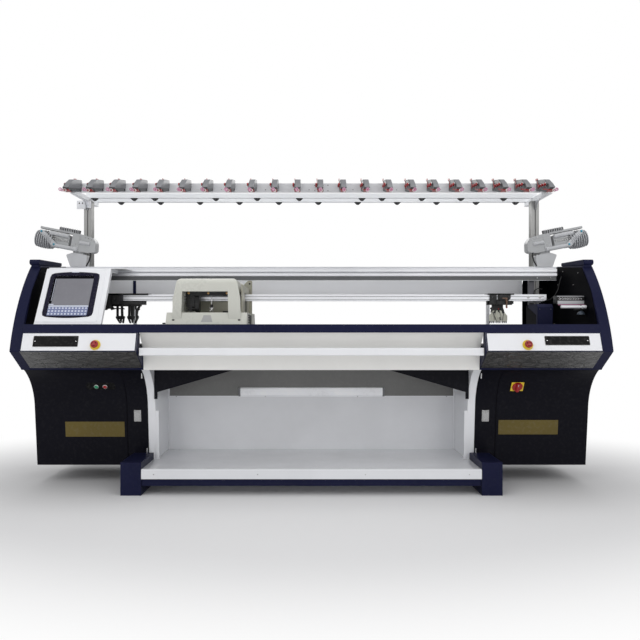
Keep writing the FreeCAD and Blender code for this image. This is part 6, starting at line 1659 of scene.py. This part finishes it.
@dataclass
class Consoles:
    """Inside and outside fittings of both consoles."""

    inner_face: float = 1592.0
    deck: float = 795.0

    def build_shade_sheets(self) -> None:
        """Line both consoles with black sheet, painted shade for their dark insides: side, back and deck,
        with their folded edges and screws.
        """
        shade_sheet = Piece("console_shade_sheets", Finishes.BLACK_AND_SHADE)
        face = self.inner_face
        side = [(60, 909), (98, 1010), (160, 1150), (281, 1290), (745, 1332), (803, 1292), (893, 1147),
                (893, 798), (60, 798)]
        shade_sheet.prism("x", face - 3, face - 0.6, side)
        back = rect(1428, face - 3, self.deck + 1, 1215)
        shade_sheet.prism("y", 846, 849, back)
        shade_sheet.prism("z", self.deck + 0.3, self.deck + 2, rect(1395, face - 3, 100, 846))
        shade_sheet.block((1425, 1431), (836, 849), (self.deck + 1, 1215))
        slope = [(742, 1334), (749, 1334), (806, 1295), (852, 1221), (852, 1214), (846, 1214), (800, 1288),
                 (742, 1327)]
        shade_sheet.prism("x", 1425, face - 0.6, slope)
        shade_sheet.block((face - 16, face - 3), (60, 74), (900, 912), 2)
        shade_sheet.use(Finishes.STEEL)
        for depth, height in ((330, 1262), (560, 1290), (400, 1196), (640, 1210), (250, 1080), (700, 960)):
            shade_sheet.screw(face - 3, depth, height, 4, "-x")
        for height in (880, 1000, 1120):
            shade_sheet.screw(1520, 846, height, 4)
        shade_sheet.mirror()
        shade_sheet.done("machine", bevel=0.5)

    def build_sides(self) -> None:
        """Bend both side plates' front edges and lay the slim cap roll on spacers along their tops."""
        start, end, sagitta, steps = (7, 806), (277, 1296), 38.0, 20
        chord = Vector(end) - Vector(start)
        out = Vector((-chord.y, chord.x)).normalized()
        bow = [tuple(Vector(start) + chord * (k / steps) + out * sagitta * 4 * (k / steps)
                     * (1 - k / steps)) for k in range(steps + 1)]
        side = [*bow, (749, 1338), (809, 1298), (900, 1150), (900, 696), (152, 696), (140, 708)]
        plates = Piece("side_plates_dressed", Finishes.NAVY)
        plates.prism("x", self.inner_face, 1650, side)
        bend = [polar(16.4, math.pi * (0.5 + k / 10)) for k in range(11)]
        roll = [(272 + u, 1319.5 + v) for u, v in bend]
        plates.prism("x", self.inner_face + 0.5, 1649.5,
                     rounded([*roll, (600, 1325.5), (600, 1347)], 9, 4, {11, 12}))
        plates.prism("x", self.inner_face + 6, 1644, [(270, 1288), (600, 1320), (600, 1330), (266, 1308)])
        plates.mirror()
        plates.done("machine", bevel=2.4, replaces=["side_plates"], segments=3)

    def build_right_inside(self) -> None:
        """Build what shows in the open right console: comb unit, rod, lamp, motor cover and leads."""
        inside = Piece("right_console_unit", Finishes.BLACK)
        inside.block((1428, 1590), (246, 300), (1078, 1122), 3)
        inside.block((1560, 1591), (210, 330), (1040, 1062), 3)
        inside.block((1576, 1591), (300, 420), (1062, 1110), 3)
        inside.use(Finishes.LIGHT_GREY)
        inside.prism("y", 242, 246, rect(1434, 1588, 1074, 1093))
        inside.prism("y", 243, 246, rect(1430, 1588, 1117, 1121))
        for k in range(9):
            inside.on(1446 + k * 15.2, 246, 1105)
            inside.use(Finishes.CHROME)
            inside.turned([(6.6, 0), (6.6, -4), (5.4, -5), (4.6, -4)], 16, "y")
            inside.use(Finishes.BLACK).turned([(4.6, -4), (4.2, -2.5), (0.1, -2.5)], 16, "y")
        inside.on(1580, 246, 1104).use(Finishes.BLACK)
        inside.turned([(8, 0), (8, -9), (6, -12), (0.1, -12)], 20, "y")
        inside.at().use(Finishes.PINK).pipe((1432, 232, 1069), (1586, 232, 1069), 2.4, 10)
        inside.use(Finishes.WHITE).on(0, 204, 1056)
        inside.turned([(7, 1437), (8.5, 1439), (8.5, 1548), (6.5, 1550), (6.5, 1556), (9.5, 1558),
                       (9.5, 1582), (8, 1584)], 24, "x")
        inside.use(Finishes.LAMP_BLUE).on(1566, 232, 1012)
        bowl = [(0.1, 23), (7, 22), (15, 17), (21, 8), (23, 0), (21, 0), (13, 14), (0.1, 20)]
        inside.turned(bowl, 28)
        inside.at().use(Finishes.BLACK).pipe((1566, 232, 1032), (1588, 250, 1045), 4, 10)
        inside.done("machine", bevel=0.6)

        cover = Piece("motor_cover", Finishes.NAVY)
        cover.prism("x", 1337.2, 1428.8, rounded([(318, 958), (299.4, 1058), (318, 1076.8), (470, 1076.8),
                                                  (470, 797), (330, 797)], 10, 4, {0, 1, 2}))
        cover.use(Finishes.BLACK_AND_SHADE)
        cover.prism("x", 1336.4, 1337.4, [(326, 797), (326, 1012), (500, 1071), (500, 797)])
        cover.prism("x", 1338, 1428, rect(470, 500.6, 1076, 797))
        for k in range(5):
            z = 850 + k * 16
            cover.block((1352, 1412), (316 - k * 1.6, 330), (z, z + 5), 1)
        cover.use(Finishes.DARK_STEEL)
        for x in (1350, 1416):
            cover.screw(x, 301, 1046, 3)
        cover.done("machine", bevel=2.0)

        lead = Piece("console_lead", Finishes.BLACK)
        lead.tube([(1478, 300, 1240), (1470, 306, 1210), (1462, 310, 1166), (1446, 316, 1128),
                   (1424, 330, 1104), (1402, 350, 1098), (1392, 372, 1090)], 2.2, 8)
        lead.tube([(1448, 300, 1120), (1436, 290, 1100), (1430, 270, 1080), (1436, 254, 1070)], 1.8, 8)
        lead.tube([(1440, 512, 1176), (1410, 500, 1180), (1388, 498, 1168), (1380, 498, 1120)], 3.2, 8)
        lead.done("machine", bevel=0)

    def build_trims(self) -> None:
        """Edge the strip panels, seam the skirts and fasten the beam."""
        trims = Piece("console_trims", Finishes.NAVY)
        for sign in (-1, 1):
            low, high = span(sign, 958, 1592)
            trims.at(STOP.face_at(0, 806))
            for edge in ((low, high, 0, 5), (low, high, 105, 109.2), (low, low + 6, 0, 109),
                         (high - 6, high, 0, 109)):
                trims.prism("y", -0.9, 0.4, rect(*edge))
        trims.at().use(Finishes.STEEL)
        for sign in (-1, 1):
            for depth, height in ((176, 1130), (300, 1250), (700, 1290), (840, 1150), (160, 740),
                                  (860, 740)):
                trims.screw(sign * 1648.5, depth, height, 5, "+x" if sign > 0 else "-x")
        trims.done("machine", bevel=0.4)

    def build(self) -> None:
        """Build every fitting."""
        self.build_shade_sheets()
        self.build_sides()
        self.build_right_inside()
        self.build_trims()


@dataclass
class FabricBay:
    """Tray, walls and light of the bay that the fabric drops into."""

    half: float = 932.0
    rear: float = 690.0

    def build(self) -> None:
        """Add the tray's rolled lip, wall returns, panel trims, the lamp's end caps and hinges."""
        bay = Piece("bay_trims", Finishes.WHITE)
        bay.prism("x", -948, 948, rounded([(79, 140), (79, 146.5), (93, 148.5), (93, 144)], 2, 2))
        for sign in (-1, 1):
            bay.prism("x", *span(sign, 914, self.half),
                      [(367, 146), (352, 200), (342, 440), (346, 440), (356, 200), (372, 146)])
        bay.block((-self.half, self.half), (self.rear - 2.5, self.rear), (484, 491))
        for sign in (-1, 1):
            bay.block(span(sign, self.half - 9, self.half), (self.rear - 9, self.rear), (146, 695), 3)
        bay.use(Finishes.COVER_GREY)
        for x in (-474, 462):
            bay.block((x, x + 12), (self.rear - 14, self.rear), (489, 545), 3)
        bay.use(Finishes.STEEL)
        for x in (-880, -300, 300, 880):
            bay.screw(x, self.rear - 2.5, 487.5, 3)
            bay.screw(x, 80, 118, 3.4)
        for sign in (-1, 1):
            for z in (230, 420, 600):
                bay.screw(sign * self.half, 360 if z < 500 else 400, z, 4, "-x" if sign > 0 else "+x")
            for z in (198, 660):
                bay.block(span(sign, 980, 986), (338, 352) if z < 500 else (216, 230), (z - 18, z + 18), 2)
        bay.use(Finishes.BLACK)
        for sign in (-1, 1):
            bay.on(sign * 1007, 300, 0)
            bay.turned([(28, 1), (30, 3), (30, 8)], 24, "z")
        bay.at()
        bay.done("machine", bevel=0.8)

        # painted shade: the upper part of the bay's back is a flat grey panel, painted darker for the shade
        # that falls on it above the lit white panel
        upper = Piece("bay_upper_panel", Finishes.GREY)
        upper.block((4 - self.half, self.half - 4), (self.rear - 1.2, self.rear + 1), (545, 694))
        upper.block((4 - self.half, -476), (self.rear - 1.2, self.rear + 1), (492, 545))
        upper.block((476, self.half - 4), (self.rear - 1.2, self.rear + 1), (492, 545))
        upper.done("machine", bevel=0)


@dataclass
class NeedleBeds:
    """Both needle beds with fine tricks, their needles and their edge rails."""

    edge: float = 424.0
    top: float = 950.0
    run: float = 124.0
    half: float = 914.5
    pitch: float = 7.62

    def _rows(self) -> int:
        """Number of tricks along a bed."""
        return int(2 * self.half / self.pitch)

    def build(self) -> None:
        """Build the beds, their needles and the rails along their edges."""
        root = math.sqrt(0.5)
        for side, sign in (("front", -1), ("rear", 1)):
            def lie(along: float, proud: float) -> tuple[float, float]:
                """Return depth and height of a point down the bed's slope and off its face."""
                depth = self.edge - (along + proud) * root
                return (depth if sign < 0 else 2 * BED_GAP - depth), self.top - along * root + proud * root

            bed = Piece(f"needle_bed_{side}_grooved", Finishes.STEEL)
            slope = self.run / root
            slab = [lie(0, -6), lie(slope, -6), lie(slope, -21.5), lie(16, -21.5)]
            bed.prism("x", -self.half, self.half, slab)
            wall = [lie(0.5, -6), lie(slope - 0.5, -6), lie(slope - 0.5, -0.2), lie(8, -0.2),
                    lie(0.5, -2.5)]
            bed.prism("x", -self.half, -self.half + self.pitch * 0.42, wall)
            limit = -self.half + self.pitch
            walls = [face for face in bed.bm.faces if max(vert.co.x for vert in face.verts) <= limit]
            edges, verts = {e for f in walls for e in f.edges}, {v for f in walls for v in f.verts}
            geometry = walls + list(edges) + list(verts)
            bed.repeat([(index * self.pitch, 0, 0) for index in range(1, self._rows() + 1)], geometry)
            bed.use(Finishes.CHROME)
            for along in (26, 118):
                strip = [lie(along, -0.4), lie(along + 9, -0.4), lie(along + 9, 0.2), lie(along, 0.2)]
                bed.prism("x", -self.half, self.half, strip)
            bed.done("machine", bevel=0, replaces=[f"needle_bed_{side}"])

            row = Piece(f"needle_row_{side}", Finishes.CHROME)
            x = -self.half + self.pitch * 0.71
            stem = [lie(-5, -4.5), lie(-5, -3.2), lie(3, -2.4), lie(78, -2.4), lie(78, 2.2), lie(86, 2.2),
                    lie(86, -2.4), lie(128, -2.4), lie(128, -5.4), lie(3, -5.4)]
            row.prism("x", x - 0.9, x + 0.9, stem)
            row.repeat([(index * self.pitch, 0, 0) for index in range(1, self._rows())])
            row.done("machine", bevel=0, replaces=["needles"] if sign < 0 else [])
        rail = Piece("bed_edge_rails", Finishes.DARK_STEEL)
        for low, high in ((411, 421), (439, 449)):
            rail.block((-914, 914), (low, high), (946.5, 955), 3)
        rail.done("machine", bevel=0.6)


@dataclass
class Beams:
    """Fittings of the top beam, carrier rails and rear panel."""

    half: float = 1498.0
    rail_half: float = 1404.0

    def build_top_beam(self) -> None:
        """Add the beam's rolled lips, a grey band painted as the shade on its lower face, groove shadows,
        end plates and bolts.
        """
        beam = Piece("top_beam_trims", Finishes.ALUMINIUM)
        for low, high in ((1292, 1297), (1272, 1275), (1254, 1259)):
            beam.prism("x", -self.half - 1, self.half + 1,
                       [(423.5, low + 1), (423.5, high - 1), (427, high), (427, low)])
        # painted shade: a dark grey strip for the darker lower band of the beam's face
        beam.use(Finishes.PLATE_GREY)
        beam.block((-self.half, self.half), (430, 431.2), (1226, 1251))
        beam.use(Finishes.BLACK_AND_SHADE)
        beam.block((-self.half, self.half), (430.4, 431.6), (1269.5, 1271))
        for sign in (-1, 1):
            beam.block(span(sign, self.half - 1, self.half + 3), (425, 461), (1226, 1308), 3)
        beam.use(Finishes.STEEL)
        for x in (-1462, -1380, 1380, 1462):
            beam.screw(x, 430, 1240, 4)
        beam.done("machine", bevel=0.5)

    def build_rails(self) -> None:
        """Screw the carrier rails, paint the shade of their grooves as thin grey strips, and stand the slim
        stay behind the left carrier.
        """
        rails = Piece("carrier_rail_fittings", Finishes.STEEL)
        for x in (1310, 1381, -1310, -1381):
            rails.on(x, 384, 1120)
            rails.turned([(8.5, 0.2), (8.5, -1.6), (7, -3), (4, -3.2), (3.6, -1.4), (0.1, -1.4)], 20, "y")
        rails.at().use(Finishes.COVER_GREY)
        # painted shade: thin grey strips on the rails' faces for the shadow in their grooves
        for low, high in ((1104.5, 1107), (1122, 1125)):
            rails.block((-self.rail_half, self.rail_half), (383.7, 384.1), (low, high))
        rails.use(Finishes.NAVY)
        rails.prism("x", -1207, -1187, rect(846, 849.5, 1160, 1255))
        rails.done("machine", bevel=0.4)

    def build(self) -> None:
        """Build the fittings."""
        self.build_top_beam()
        self.build_rails()


# ---- the whole scene


def main() -> None:
    """Build the studio, dress the frame, add every sub-assembly in order and report each one."""
    logging.basicConfig(level=logging.INFO, format="%(name)s: %(message)s")
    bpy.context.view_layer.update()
    Studio().build()
    dress_nodes()
    for assembly in (ControlPanel(), CabinetFace(), STOP, Carriage(), YarnCarriers(), TensionUnits(),
                     YarnFrame(), StorageFeeder(-1), StorageFeeder(1), Consoles(), FabricBay(),
                     NeedleBeds(), Beams()):
        assembly.build()
        LOG.info("%s is built", type(assembly).__name__)


if __name__ == "__main__":
    main()
